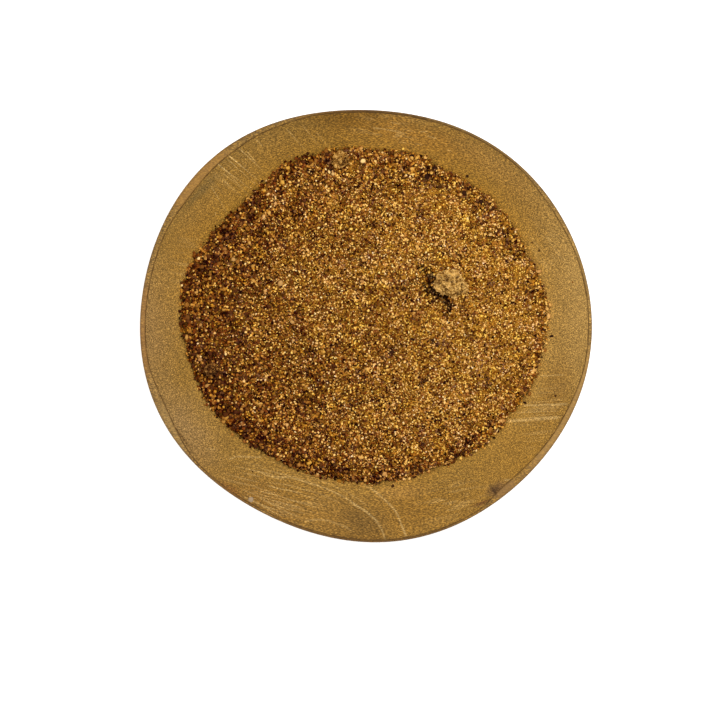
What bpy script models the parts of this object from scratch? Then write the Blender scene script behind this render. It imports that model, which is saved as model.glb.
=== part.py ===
"""Ground nutmeg in a small hand-carved wooden bowl, with one caked lump lying on the powder.

Metres, +Z up. The origin is on the ground, under the middle of the bowl's box.
The bowl's outline is a mean radius with a few shallow waves left by the knife. The lip,
the hollow, the powder that fills it and the gap between the two all follow from it.
"""
import math
import random

import bmesh
import bpy
from mathutils import Matrix, Vector, noise
from mathutils.geometry import delaunay_2d_cdt

MM = 0.001
GAP = 0.3 * MM                      # clearance between pieces that touch

# Bowl: 80.0 mm wide, 76.5 mm deep, 26 mm high.
RIM_RADIUS = 39.27 * MM             # mean radius of the outline
RIM_WAVES = (                       # lobes, height, angle of a lobe in degrees
    (2, 0.93 * MM, -10.0),
    (3, 0.17 * MM, 30.0),
    (4, 0.19 * MM, 29.0),
    (5, 0.26 * MM, -13.0),
)
BOWL_HEIGHT = 26.0 * MM
FOOT_SHARE = 0.52                   # radius of the flat foot, as a share of the outline
OUTER_CURVE = 0.52                  # 1 is a straight flare, less is a rounder belly
EDGE_ROUND = 0.45 * MM              # rounding of the outer edge of the lip
EDGE_STEPS = ((0.1, 0.4), (0.5, 0.0))   # points on it, inwards and below the top, as shares of it
LIP_DROP = 0.35 * MM                # small step from the flat lip down to the hollow
LIP_RUN = 0.2 * MM                  # how far the step slopes inwards
LIP_WIDTHS = (                      # angle in degrees, width of the flat lip there
    (-8.0, 0.5 * MM),
    (15.0, 0.42 * MM),
    (33.0, 0.66 * MM),
    (48.0, 0.3 * MM),
    (103.0, 0.3 * MM),
    (116.0, 0.75 * MM),
    (130.0, 1.3 * MM),
    (142.0, 1.5 * MM),
    (158.0, 0.85 * MM),
    (188.0, 0.8 * MM),
    (202.0, 1.45 * MM),
    (222.0, 0.3 * MM),
    (300.0, 0.3 * MM),
    (311.0, 1.3 * MM),
    (333.0, 0.95 * MM),
)
HOLLOW_DEPTH = 19.0 * MM            # below the foot of the lip's step
HOLLOW_CURVE = 2.2                  # 2 is a parabola, more has a flatter floor
AROUND = 80                         # facets round the bowl
OUTER_BANDS = 8
HOLLOW_BANDS = 9

# Powder: an uneven pool, banked a little towards the back and left.
POWDER_RADIUS = 31.2 * MM
POWDER_OFFSET = Vector((-0.22 * MM, 1.12 * MM))   # from the middle of the outline's waves
POWDER_WAVES = (
    (2, 1.41 * MM, -2.0),
    (3, 0.17 * MM, -33.0),
    (4, 0.17 * MM, 5.0),
    (5, 0.16 * MM, -33.0),
)
POWDER_RAGGED = 0.35 * MM           # how far the edge wanders from grain to grain
POWDER_EDGE = 0.45 * MM             # thickness of the thin edge against the wall
RAGGED_WAVES = ((9.0, 1.0), (23.0, 0.6))   # how quickly the edge wanders, and how strongly
POWDER_MOUND = 0.6 * MM             # rise of the middle over the edge
SWELL_HEIGHT = 0.35 * MM            # long low waves of the surface
SWELL_LENGTH = 9.0 * MM
BUMP_HEIGHT = 0.28 * MM             # relief of single grains
EDGE_POINTS = 170                   # points round the edge, about a grain apart
TOP_POINTS = 2250                   # points of the relief
UNDER_POINTS = 230                  # points of the smooth underside
SEED = 56

# Largest grains, fused to the powder and half sunk in it.
GRAIN_COUNT = 78
GRAIN_SIZES = (0.85 * MM, 1.3 * MM)
GRAIN_SPACING = 2.3 * MM
GRAIN_EDGE_BIAS = 0.38              # below 0.5 draws the grains towards the edge
GRAIN_REACH = 0.95                  # how far out they lie, as a share of the powder's radius
GRAIN_RISE = 0.2                    # how far the middle stands over the powder, as a share of the size
GRAIN_ROUGHNESS = 0.3               # unevenness, as a share of the radius
CLUMPS = (                          # small caked clumps: place, size across
    (Vector((-4.4 * MM, 29.6 * MM)), 3.0 * MM),
    (Vector((-27.6 * MM, -7.8 * MM)), 2.5 * MM),
)
CLUMP_SHAPE = (1.0, 0.8, 0.7)       # length, width and height, as shares of the size
CLUMP_RISE = 0.1
CLUMP_TURN = 0.4
CLUMP_ROUGHNESS = 0.2

# The caked lump, a piece of its own in a pocket of the powder.
LUMP_PLACE = Vector((15.2 * MM, 7.4 * MM))
LUMP_SIZE = Vector((6.5 * MM, 5.1 * MM, 4.3 * MM))
LUMP_TURN = math.radians(-24.0)
LUMP_SINK = 0.4                     # share of its height that is below the powder
LUMP_ROUGHNESS = 0.11               # unevenness, as a share of its radius
DENT_PLACE = Vector((12.3 * MM, 5.2 * MM))        # hollow that the lump left beside it
DENT_DEPTH = 0.9 * MM
DENT_RADIUS = 1.7 * MM


def waved_radius(angle, mean, waves):
    """Radius of an uneven round outline at an angle."""
    radius = mean
    for lobes, height, first in waves:
        radius += height * math.cos(lobes * (angle - math.radians(first)))
    return radius


def outline_middle():
    """Where the waves' own middle lies when the bowl's box is centred on the origin."""
    xs = []
    ys = []
    for step in range(AROUND):
        angle = 2.0 * math.pi * step / AROUND
        radius = waved_radius(angle, RIM_RADIUS, RIM_WAVES)
        xs.append(radius * math.cos(angle))
        ys.append(radius * math.sin(angle))
    return Vector((-(min(xs) + max(xs)) / 2.0, -(min(ys) + max(ys)) / 2.0))


BOWL_MIDDLE = outline_middle()
POWDER_MIDDLE = BOWL_MIDDLE + POWDER_OFFSET


def lip_width(angle):
    """Width of the flat lip at an angle, eased from one carved stretch to the next."""
    degrees = math.degrees(angle) % 360.0
    stations = list(LIP_WIDTHS)
    first_angle, first_width = stations[0]
    degrees = (degrees - first_angle) % 360.0 + first_angle
    stations.append((first_angle + 360.0, first_width))
    for (start, before), (end, after) in zip(stations, stations[1:]):
        if start <= degrees <= end:
            ease = 0.5 - 0.5 * math.cos(math.pi * (degrees - start) / (end - start))
            return before + (after - before) * ease
    return first_width


def rim_radius(angle):
    return waved_radius(angle, RIM_RADIUS, RIM_WAVES)


def hollow_radius(angle):
    return rim_radius(angle) - lip_width(angle) - LIP_RUN


def hollow_height(x, y):
    """Height of the hollow's surface at a place in plan."""
    offset = Vector((x, y)) - BOWL_MIDDLE
    share = min(offset.length / hollow_radius(math.atan2(offset.y, offset.x)), 1.0)
    return BOWL_HEIGHT - LIP_DROP - HOLLOW_DEPTH * (1.0 - share ** HOLLOW_CURVE)


def ring(radius_at, height):
    """One closed ring of points round the bowl's middle, all at one height."""
    points = []
    for step in range(AROUND):
        angle = 2.0 * math.pi * step / AROUND
        radius = radius_at(angle)
        x = BOWL_MIDDLE.x + radius * math.cos(angle)
        y = BOWL_MIDDLE.y + radius * math.sin(angle)
        points.append(Vector((x, y, height)))
    return points


def bowl_rings():
    """Rings from the foot up the outside, over the lip and down the hollow."""
    rings = []
    rise = BOWL_HEIGHT - EDGE_ROUND
    for band in range(OUTER_BANDS + 1):
        share = (band / OUTER_BANDS) ** 2        # bands lie closer where the belly is rounder
        flare = FOOT_SHARE + (1.0 - FOOT_SHARE) * share ** OUTER_CURVE
        rings.append(ring(lambda angle: rim_radius(angle) * flare, rise * share))
    for inward, below in EDGE_STEPS:
        inset = inward * EDGE_ROUND
        rings.append(ring(lambda angle: rim_radius(angle) - inset, BOWL_HEIGHT - below * EDGE_ROUND))
    rings.append(ring(lambda angle: rim_radius(angle) - lip_width(angle), BOWL_HEIGHT))
    for band in range(HOLLOW_BANDS):
        share = 1.0 - band / HOLLOW_BANDS
        level = ring(lambda angle: hollow_radius(angle) * share, 0.0)
        for point in level:
            point.z = hollow_height(point.x, point.y)
        rings.append(level)
    return rings


def mesh_object(name, verts, faces):
    mesh = bpy.data.meshes.new(name)
    mesh.from_pydata([tuple(vert) for vert in verts], [], faces)
    made = bpy.data.objects.new(name, mesh)
    bpy.context.scene.collection.objects.link(made)
    return made


def make_bowl():
    """The bowl: one skin over all its rings, closed by a fan at the foot and one in the hollow."""
    rings = bowl_rings()
    verts = [point for level in rings for point in level]
    faces = []
    for level in range(len(rings) - 1):
        for step in range(AROUND):
            ahead = (step + 1) % AROUND
            low = level * AROUND
            high = low + AROUND
            faces.append((low + step, low + ahead, high + ahead, high + step))
    foot = len(verts)
    verts.append(Vector((BOWL_MIDDLE.x, BOWL_MIDDLE.y, 0.0)))
    floor = len(verts)
    verts.append(Vector((BOWL_MIDDLE.x, BOWL_MIDDLE.y, hollow_height(*BOWL_MIDDLE))))
    last = (len(rings) - 1) * AROUND
    for step in range(AROUND):
        ahead = (step + 1) % AROUND
        faces.append((foot, ahead, step))
        faces.append((floor, last + step, last + ahead))
    return mesh_object("bowl", verts, faces)


def powder_radius(angle):
    """Radius of the powder's ragged outline at an angle, from its own middle."""
    wander = 0.0
    for quickness, strength in RAGGED_WAVES:
        wander += strength * noise.noise(Vector((math.cos(angle), math.sin(angle), 0.3)) * quickness)
    return waved_radius(angle, POWDER_RADIUS, POWDER_WAVES) + POWDER_RAGGED * wander


def powder_edge_point(angle):
    radius = powder_radius(angle)
    return POWDER_MIDDLE + Vector((radius * math.cos(angle), radius * math.sin(angle)))


def edge_height(angle):
    """Height of the powder's edge: its thin edge on the gap above the wall."""
    return hollow_height(*powder_edge_point(angle)) + GAP + POWDER_EDGE


def edge_plane():
    """Level and tilt of the plane that the powder's edge lies closest to."""
    angles = [2.0 * math.pi * step / AROUND for step in range(AROUND)]
    level = sum(edge_height(angle) for angle in angles) / AROUND
    lean_x = 0.0
    lean_y = 0.0
    spread = 0.0
    for angle in angles:
        place = powder_edge_point(angle) - POWDER_MIDDLE
        rise = edge_height(angle) - level
        lean_x += place.x * rise
        lean_y += place.y * rise
        spread += place.length_squared / 2.0
    return level, Vector((lean_x, lean_y)) / spread


POWDER_LEVEL, POWDER_TILT = edge_plane()


def powder_height(x, y):
    """Height of the powder's smooth surface, before the relief of its grains."""
    place = Vector((x, y))
    offset = place - POWDER_MIDDLE
    angle = math.atan2(offset.y, offset.x)
    share = min(offset.length / powder_radius(angle), 1.0)
    plane = POWDER_LEVEL + POWDER_TILT.dot(offset)
    edge = powder_edge_point(angle) - POWDER_MIDDLE
    rest = edge_height(angle) - POWDER_LEVEL - POWDER_TILT.dot(edge)
    swell = SWELL_HEIGHT * noise.noise(Vector((x, y, 0.0)) / SWELL_LENGTH)
    dent = DENT_DEPTH * math.exp(-((place - DENT_PLACE).length / DENT_RADIUS) ** 2)
    inward = 1.0 - share ** 2
    return plane + rest * share ** 4 + (POWDER_MOUND + swell) * inward - dent


def spiral_places(count, reach):
    """Evenly spread places inside the powder's outline, on a sunflower spiral."""
    turn = math.pi * (3.0 - math.sqrt(5.0))
    places = []
    for step in range(count):
        angle = step * turn
        bearing = math.atan2(math.sin(angle), math.cos(angle))
        radius = reach * math.sqrt((step + 0.5) / count) * powder_radius(bearing)
        places.append(POWDER_MIDDLE + Vector((radius * math.cos(angle), radius * math.sin(angle))))
    return places


def skin(edge, inside):
    """Triangles over an edge ring and the places inside it."""
    places = edge + inside
    border = [(step, (step + 1) % len(edge)) for step in range(len(edge))]
    found = delaunay_2d_cdt(places, border, [list(range(len(edge)))], 1, 1e-9)
    return [tuple(face) for face in found[2]]


def make_powder_core():
    """The powder: a bumpy top, a thin edge, and an underside that follows the hollow."""
    draw = random.Random(SEED)
    edge = [powder_edge_point(2.0 * math.pi * step / EDGE_POINTS) for step in range(EDGE_POINTS)]
    inside = spiral_places(TOP_POINTS, 0.975)
    under = spiral_places(UNDER_POINTS, 0.93)
    verts = []
    for step, place in enumerate(edge):
        verts.append(Vector((place.x, place.y, edge_height(2.0 * math.pi * step / EDGE_POINTS))))
    for place in inside:
        bump = BUMP_HEIGHT * draw.uniform(-1.0, 1.0)
        height = max(powder_height(*place) + bump, hollow_height(*place) + GAP + POWDER_EDGE)
        verts.append(Vector((place.x, place.y, height)))
    faces = skin(edge, inside)
    low_edge = len(verts)
    for place in edge + under:
        verts.append(Vector((place.x, place.y, hollow_height(*place) + GAP)))
    for face in skin(edge, under):
        faces.append(tuple(low_edge + corner for corner in reversed(face)))
    for step in range(EDGE_POINTS):
        ahead = (step + 1) % EDGE_POINTS
        faces.append((low_edge + step, low_edge + ahead, ahead))
        faces.append((low_edge + step, ahead, step))
    return mesh_object("ground_nutmeg", verts, faces)


def rough_ball(name, size, place, turn, rounds, roughness, seed):
    """An uneven, faceted ball: a grain, a clump or the lump."""
    shape = bmesh.new()
    bmesh.ops.create_icosphere(shape, subdivisions=rounds, radius=0.5)
    for vert in shape.verts:
        sway = noise.noise(vert.co * 3.1 + Vector((seed * 1.7, seed * 0.9, seed * 2.3)))
        vert.co *= 1.0 + 2.0 * roughness * sway
        vert.co = Vector((vert.co.x * size.x, vert.co.y * size.y, vert.co.z * size.z))
    bmesh.ops.rotate(shape, verts=shape.verts, matrix=Matrix.Rotation(turn, 3, "Z"))
    bmesh.ops.translate(shape, verts=shape.verts, vec=place)
    mesh = bpy.data.meshes.new(name)
    shape.to_mesh(mesh)
    shape.free()
    return bpy.data.objects.new(name, mesh)


def clear_of_wall(ball):
    """True where every point of a ball stays over the gap above the hollow."""
    for vert in ball.data.vertices:
        if vert.co.z < hollow_height(vert.co.x, vert.co.y) + GAP:
            return False
    return True


def make_grains():
    """The two clumps and the largest grains, thickest near the edge, none on another."""
    draw = random.Random(SEED + 1)
    taken = [(LUMP_PLACE, LUMP_SIZE.x)]
    balls = []
    for place, size in CLUMPS:
        centre = Vector((place.x, place.y, powder_height(*place) + CLUMP_RISE * size))
        shape = Vector(CLUMP_SHAPE) * size
        balls.append(rough_ball("clump", shape, centre, CLUMP_TURN, 2, CLUMP_ROUGHNESS, len(balls)))
        taken.append((place, size))
    while len(balls) < GRAIN_COUNT:
        angle = draw.uniform(-math.pi, math.pi)
        share = GRAIN_REACH * draw.random() ** GRAIN_EDGE_BIAS
        radius = powder_radius(angle) * share
        place = POWDER_MIDDLE + Vector((radius * math.cos(angle), radius * math.sin(angle)))
        if any((place - other).length < (GRAIN_SPACING + width) / 2.0 for other, width in taken):
            continue
        size = draw.uniform(*GRAIN_SIZES)
        shape = Vector((size, size * draw.uniform(0.65, 0.95), size * draw.uniform(0.6, 0.9)))
        centre = Vector((place.x, place.y, powder_height(*place) + GRAIN_RISE * size))
        turn = draw.uniform(0.0, math.pi)
        ball = rough_ball("grain", shape, centre, turn, 1, GRAIN_ROUGHNESS, len(balls))
        if clear_of_wall(ball):
            balls.append(ball)
            taken.append((place, GRAIN_SPACING))
    return balls


def apply_modifiers(target):
    """Replace an object's mesh by what its modifiers make of it."""
    bpy.context.view_layer.update()
    graph = bpy.context.evaluated_depsgraph_get()
    mesh = bpy.data.meshes.new_from_object(target.evaluated_get(graph))
    target.modifiers.clear()
    target.data = mesh


def fuse(target, balls):
    """Join many small bodies to one by a single union."""
    group = bpy.data.collections.new("fused")
    bpy.context.scene.collection.children.link(group)
    for ball in balls:
        group.objects.link(ball)
    union = target.modifiers.new("fuse", "BOOLEAN")
    union.operation = "UNION"
    union.operand_type = "COLLECTION"
    union.collection = group
    union.solver = "EXACT"
    apply_modifiers(target)
    for ball in balls:
        bpy.data.objects.remove(ball)
    bpy.data.collections.remove(group)


def make_lump(name, grow):
    """The caked lump, or with grow its pocket, which is wider all round."""
    place = Vector((LUMP_PLACE.x, LUMP_PLACE.y, 0.0))
    place.z = powder_height(*LUMP_PLACE) + (0.5 - LUMP_SINK) * LUMP_SIZE.z
    size = LUMP_SIZE + Vector((grow, grow, grow)) * 2.0
    return rough_ball(name, size, place, LUMP_TURN, 3, LUMP_ROUGHNESS, 5)


def cut_pocket(target):
    """Cut the lump's pocket out of the powder."""
    pocket = make_lump("pocket", GAP * 1.15)
    bpy.context.scene.collection.objects.link(pocket)
    cut = target.modifiers.new("pocket", "BOOLEAN")
    cut.operation = "DIFFERENCE"
    cut.object = pocket
    cut.solver = "EXACT"
    apply_modifiers(target)
    bpy.data.objects.remove(pocket)


def keep_largest_body(target):
    """Drop loose scraps that a cut left beside the main body."""
    shape = bmesh.new()
    shape.from_mesh(target.data)
    left = set(shape.verts)
    bodies = []
    while left:
        front = [left.pop()]
        body = set(front)
        while front:
            vert = front.pop()
            for link in vert.link_edges:
                other = link.other_vert(vert)
                if other in left:
                    left.remove(other)
                    body.add(other)
                    front.append(other)
        bodies.append(body)
    bodies.sort(key=len)
    for body in bodies[:-1]:
        bmesh.ops.delete(shape, geom=list(body), context="VERTS")
    shape.to_mesh(target.data)
    shape.free()


def plain_material(name, colour, roughness):
    """A matt material with its colour given in linear values."""
    made = bpy.data.materials.new(name)
    made.use_nodes = True
    shader = made.node_tree.nodes["Principled BSDF"]
    shader.inputs["Base Color"].default_value = (*colour, 1.0)
    shader.inputs["Roughness"].default_value = roughness
    shader.inputs["Metallic"].default_value = 0.0
    return made


def main():
    for old in list(bpy.data.objects):
        bpy.data.objects.remove(old)
    bowl = make_bowl()
    bowl.data.materials.append(plain_material("carved_wood", (0.33, 0.19, 0.055), 0.6))
    bowl.data.shade_smooth()
    bowl.data.set_sharp_from_angle(angle=math.radians(35.0))
    powder = make_powder_core()
    fuse(powder, make_grains())
    cut_pocket(powder)
    keep_largest_body(powder)
    powder.data.materials.clear()
    powder.data.materials.append(plain_material("nutmeg_powder", (0.32, 0.15, 0.035), 0.95))
    lump = make_lump("caked_lump", 0.0)
    bpy.context.scene.collection.objects.link(lump)
    lump.data.materials.append(plain_material("caked_nutmeg", (0.38, 0.2, 0.06), 0.95))
    for made in (bowl, powder, lump):
        print(made.name, len(made.data.polygons), "faces")


main()
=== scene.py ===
# %% [markdown]
# # Ground nutmeg in a small carved bowl
# A shallow wooden bowl, carved by hand, is filled with coarse ground nutmeg on which a
# caked lump lies. The solids come in as a fixed frame. Each is replaced by a finer mesh
# of the same form, and every finish is made from shader nodes.

# %% Load the frame
import math

import bmesh
import bpy
import numpy as np
from mathutils import Matrix, Vector, noise
from mathutils.geometry import delaunay_2d_cdt


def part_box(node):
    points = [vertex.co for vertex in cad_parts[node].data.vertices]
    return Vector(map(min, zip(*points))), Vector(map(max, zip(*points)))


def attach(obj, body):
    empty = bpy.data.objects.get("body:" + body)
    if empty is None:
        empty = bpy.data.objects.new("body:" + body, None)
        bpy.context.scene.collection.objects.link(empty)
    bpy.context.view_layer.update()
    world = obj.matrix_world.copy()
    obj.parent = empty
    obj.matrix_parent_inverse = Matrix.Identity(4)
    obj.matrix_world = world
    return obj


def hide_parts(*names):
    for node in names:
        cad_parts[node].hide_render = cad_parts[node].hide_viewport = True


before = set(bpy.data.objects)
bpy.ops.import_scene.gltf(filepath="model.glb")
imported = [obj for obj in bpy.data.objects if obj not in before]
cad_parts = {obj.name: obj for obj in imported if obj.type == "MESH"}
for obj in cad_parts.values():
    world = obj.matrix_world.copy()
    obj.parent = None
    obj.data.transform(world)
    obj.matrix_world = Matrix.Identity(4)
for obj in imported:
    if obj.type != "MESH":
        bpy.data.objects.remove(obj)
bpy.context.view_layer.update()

print("nodes:", sorted(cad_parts))

# %% [markdown]
# ## The bowl's outline
# A bowl carved by eye is never quite round: its outline is a mean radius with a few
# shallow waves, and the lip's width changes round it. The same sizes drive the solid, so
# the finer mesh lies on it without any fitting.

# %% Sizes of the bowl
MM = 0.001
RIM_RADIUS = 39.27 * MM
RIM_WAVES = ((2, 0.93 * MM, -10.0), (3, 0.17 * MM, 30.0), (4, 0.19 * MM, 29.0), (5, 0.26 * MM, -13.0))
BOWL_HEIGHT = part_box("bowl")[1].z
FOOT_SHARE = 0.52
OUTER_CURVE = 0.52
EDGE_ROUND = 0.45 * MM
LIP_DROP = 0.35 * MM
LIP_RUN = 0.2 * MM
LIP_WIDTHS = (                      # angle in degrees, width of the flat lip there in mm
    (-8, 0.5), (15, 0.42), (33, 0.66), (48, 0.3), (103, 0.3), (116, 0.75), (130, 1.3), (142, 1.5),
    (158, 0.85), (188, 0.8), (202, 1.45), (222, 0.3), (300, 0.3), (311, 1.3), (333, 0.95),
)
HOLLOW_DEPTH = 19.0 * MM
HOLLOW_CURVE = 2.2
OUTLINE_STEPS = 80                  # where the outline's box is measured


def all_round(count):
    """Angles of even steps round a circle."""
    return [2.0 * math.pi * step / count for step in range(count)]


def polar(radius, angle):
    return Vector((radius * math.cos(angle), radius * math.sin(angle)))


def angle_of(offset):
    return math.atan2(offset.y, offset.x)


def waved_radius(angle, mean, waves):
    """Radius of an uneven round outline at an angle."""
    radius = mean
    for lobes, height, first in waves:
        radius += height * math.cos(lobes * (angle - math.radians(first)))
    return radius


def rim_radius(angle):
    return waved_radius(angle, RIM_RADIUS, RIM_WAVES)


def outline_middle():
    """The waves' own middle when the bowl's box is centred on the origin."""
    angles = all_round(OUTLINE_STEPS)
    xs = [rim_radius(angle) * math.cos(angle) for angle in angles]
    ys = [rim_radius(angle) * math.sin(angle) for angle in angles]
    return Vector((-(min(xs) + max(xs)) / 2.0, -(min(ys) + max(ys)) / 2.0))


def uneven(x, y, level, length):
    """Smooth noise over the plan, about from -1 to 1. Each level is another noise."""
    return noise.noise(Vector((x, y, level)) / length)


def smooth_step(value, low, high):
    share = min(max((value - low) / (high - low), 0.0), 1.0)
    return share * share * (3.0 - 2.0 * share)


BOWL_MIDDLE = outline_middle()
print("middle of the waves in mm:", [round(1000 * side, 2) for side in BOWL_MIDDLE])


# %% Lip and hollow
def lip_width(angle):
    """Width of the flat lip, eased from one carved stretch to the next."""
    first_angle, first_width = LIP_WIDTHS[0]
    degrees = (math.degrees(angle) - first_angle) % 360.0 + first_angle
    stations = LIP_WIDTHS + ((first_angle + 360.0, first_width),)
    for (start, before), (end, after) in zip(stations, stations[1:]):
        if start <= degrees <= end:
            ease = 0.5 - 0.5 * math.cos(math.pi * (degrees - start) / (end - start))
            return before * MM + (after * MM - before * MM) * ease
    return first_width * MM


def hollow_radius(angle):
    return rim_radius(angle) - lip_width(angle) - LIP_RUN


def hollow_level(share):
    """Height of the hollow's surface at a share of the way out to its edge."""
    return BOWL_HEIGHT - LIP_DROP - HOLLOW_DEPTH * (1.0 - share ** HOLLOW_CURVE)


def hollow_height(x, y):
    """The same at a place in plan."""
    offset = Vector((x, y)) - BOWL_MIDDLE
    return hollow_level(min(offset.length / hollow_radius(angle_of(offset)), 1.0))


print("depth of the hollow in mm:", round(1000 * (BOWL_HEIGHT - hollow_height(0.0, 0.0)), 2))

# %% [markdown]
# ## The powder's surface
# The nutmeg's edge wanders from grain to grain on the sloping wall, and its middle
# stands a little higher. All loose grains are scattered on this height.

# %% Outline of the powder
GAP = 0.3 * MM
POWDER_RADIUS = 31.2 * MM
POWDER_MIDDLE = BOWL_MIDDLE + Vector((-0.22 * MM, 1.12 * MM))
POWDER_WAVES = ((2, 1.41 * MM, -2.0), (3, 0.17 * MM, -33.0), (4, 0.17 * MM, 5.0), (5, 0.16 * MM, -33.0))
POWDER_RAGGED = 0.35 * MM
RAGGED_WAVES = ((9.0, 1.0), (23.0, 0.6))
POWDER_EDGE = 0.45 * MM


def noise_round(angle, level, quickness):
    """Smooth noise that runs once round the circle and meets itself."""
    return noise.noise(Vector((math.cos(angle), math.sin(angle), level)) * quickness)


def powder_radius(angle):
    """Radius of the powder's ragged outline at an angle, from its own middle."""
    wander = 0.0
    for quickness, strength in RAGGED_WAVES:
        wander += strength * noise_round(angle, 0.3, quickness)
    return waved_radius(angle, POWDER_RADIUS, POWDER_WAVES) + POWDER_RAGGED * wander


def powder_edge_point(angle):
    return POWDER_MIDDLE + polar(powder_radius(angle), angle)


def edge_height(angle):
    """Height of the powder's edge: its thin edge on the gap above the wall."""
    return hollow_height(*powder_edge_point(angle)) + GAP + POWDER_EDGE


def edge_plane():
    """Level and tilt of the plane that the powder's edge lies closest to."""
    angles = all_round(OUTLINE_STEPS)
    level = sum(edge_height(angle) for angle in angles) / OUTLINE_STEPS
    lean = Vector((0.0, 0.0))
    spread = 0.0
    for angle in angles:
        place = powder_edge_point(angle) - POWDER_MIDDLE
        lean += place * (edge_height(angle) - level)
        spread += place.length_squared / 2.0
    return level, lean / spread


POWDER_LEVEL, POWDER_TILT = edge_plane()
print("level of the powder in mm:", round(1000 * POWDER_LEVEL, 2))

# %% Height of the powder
POWDER_MOUND = 0.6 * MM
SWELL_HEIGHT = 0.35 * MM
SWELL_LENGTH = 9.0 * MM
DENT_PLACE = Vector((12.3 * MM, 5.2 * MM))
DENT_DEPTH = 0.9 * MM
DENT_RADIUS = 1.7 * MM


def powder_share(x, y):
    """How far out a place lies, 0 in the powder's middle, 1 at its edge, and its angle."""
    offset = Vector((x, y)) - POWDER_MIDDLE
    angle = angle_of(offset)
    return offset.length / powder_radius(angle), angle


def powder_height(x, y):
    """Height of the powder's smooth surface, before the relief of its grains."""
    share, angle = powder_share(x, y)
    share = min(share, 1.0)
    place = Vector((x, y))
    plane = POWDER_LEVEL + POWDER_TILT.dot(place - POWDER_MIDDLE)
    edge = powder_edge_point(angle) - POWDER_MIDDLE
    rest = edge_height(angle) - POWDER_LEVEL - POWDER_TILT.dot(edge)
    swell = SWELL_HEIGHT * uneven(x, y, 0.0, SWELL_LENGTH)
    dent = DENT_DEPTH * math.exp(-((place - DENT_PLACE).length / DENT_RADIUS) ** 2)
    return plane + rest * share ** 4 + (POWDER_MOUND + swell) * (1.0 - share ** 2) - dent


print("height in the powder's middle in mm:", round(1000 * powder_height(*POWDER_MIDDLE), 2))

# %% Reach of the loose grains
# The poured edge runs straighter at the upper left and falls short in a few other places.
# Single grains stand out or are missing all along it.
DIPS = (                            # angle and half width in degrees, how far short in mm
    (138, 13, 1), (168, 9, -0.45), (188, 12, 0.55), (240, 14, 0.6), (262, 8, 0.35), (297, 9, 0.35),
    (312, 6, -0.35), (328, 9, 0.45), (24, 7, 0.45), (116, 9, -0.55), (97, 6, -0.6), (73, 7, -0.7),
    (216, 6, -0.35), (8, 11, -0.3),
)
GRAIN_INSET = 0.12 * MM
NOTCH = 0.4 * MM
TAPER = 0.9 * MM                    # over this width the powder thins out to single grains


def spill_radius(angle):
    """How far out the loose grains reach at an angle, from the powder's middle."""
    radius = powder_radius(angle) - GRAIN_INSET
    for middle, width, short in DIPS:
        off = math.remainder(angle - math.radians(middle), 2.0 * math.pi) / math.radians(width)
        radius -= short * MM * math.exp(-off * off)
    return radius + NOTCH * (noise_round(angle, 0.7, 16.0) + 0.8 * noise_round(angle, 0.9, 41.0))


def surface_height(x, y):
    """Height that the loose grains lie on: the powder's surface, down to the wall at its edge."""
    offset = Vector((x, y)) - POWDER_MIDDLE
    inside = (spill_radius(angle_of(offset)) - offset.length) / TAPER
    wall = hollow_height(x, y)
    if inside >= 1.0:
        return powder_height(x, y)
    return wall + (powder_height(x, y) - wall) * max(inside, 0.0) ** 0.7


print("the grains reach to the right in mm:", round(1000 * spill_radius(0.0), 2))

# %% [markdown]
# ## Camera
# The picture looks straight down. A long lens from far above keeps the rim, the powder
# and the floor at nearly one scale, 5.65 pixels to the millimetre.

# %% Camera
PICTURE_SIDE = 720
PIXELS_PER_METRE = 5650.0
BOWL_PIXEL = (366.0, 326.0)         # the middle of the bowl's box in the picture
CAMERA_RISE = 1.2                   # above the rim
SENSOR = 36.0


def from_picture(column, row):
    """The place in plan, in metres, of a pixel of the picture."""
    return Vector(((column - BOWL_PIXEL[0]) / PIXELS_PER_METRE, (BOWL_PIXEL[1] - row) / PIXELS_PER_METRE))


def new_object(name, data):
    """An object in the scene round some data: a mesh, a lamp or a camera."""
    made = bpy.data.objects.new(name, data)
    bpy.context.scene.collection.objects.link(made)
    return made


camera = new_object("camera", bpy.data.cameras.new("camera"))
camera.data.sensor_width = SENSOR
camera.data.lens = SENSOR * CAMERA_RISE / (PICTURE_SIDE / PIXELS_PER_METRE)
camera.data.clip_end = 10.0
camera.location = (*from_picture(PICTURE_SIDE / 2.0, PICTURE_SIDE / 2.0), BOWL_HEIGHT + CAMERA_RISE)
bpy.context.scene.camera = camera
print("lens in mm:", round(camera.data.lens, 1))

# %% [markdown]
# ## Light and floor
# The bowl stands in even white light, as in a light tent. One soft lamp above and to the
# right gives the grains their small shadows to the lower left.

# %% Light
TENT_STRENGTH = 0.95
LAMP_PLACE = Vector((0.085, 0.095, 0.55))
LAMP_SIDE = 0.14
LAMP_POWER = 1.6

scene = bpy.context.scene
scene.view_settings.view_transform = "Standard"
scene.world = bpy.data.worlds.new("tent")
scene.world.use_nodes = True
tent = scene.world.node_tree.nodes["Background"]
tent.inputs["Color"].default_value = (1.0, 1.0, 1.0, 1.0)
tent.inputs["Strength"].default_value = TENT_STRENGTH
lamp = new_object("lamp", bpy.data.lights.new("lamp", "AREA"))
lamp.data.shape = "DISK"
lamp.data.size = LAMP_SIDE
lamp.data.energy = LAMP_POWER
lamp.location = LAMP_PLACE
lamp.rotation_mode = "QUATERNION"
lamp.rotation_quaternion = (LAMP_PLACE - Vector((0.0, 0.0, BOWL_HEIGHT))).to_track_quat("Z", "Y")
lamp.visible_camera = False
print("lamp stands off the vertical by degrees:",
      round(math.degrees(math.atan2(math.hypot(LAMP_PLACE.x, LAMP_PLACE.y), LAMP_PLACE.z - BOWL_HEIGHT)), 1))


# %% Floor
FLOOR_HALF = 3.0
FLOOR_GLOW = 0.5
bench = {}                          # holds the node tree that is being made


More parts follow.
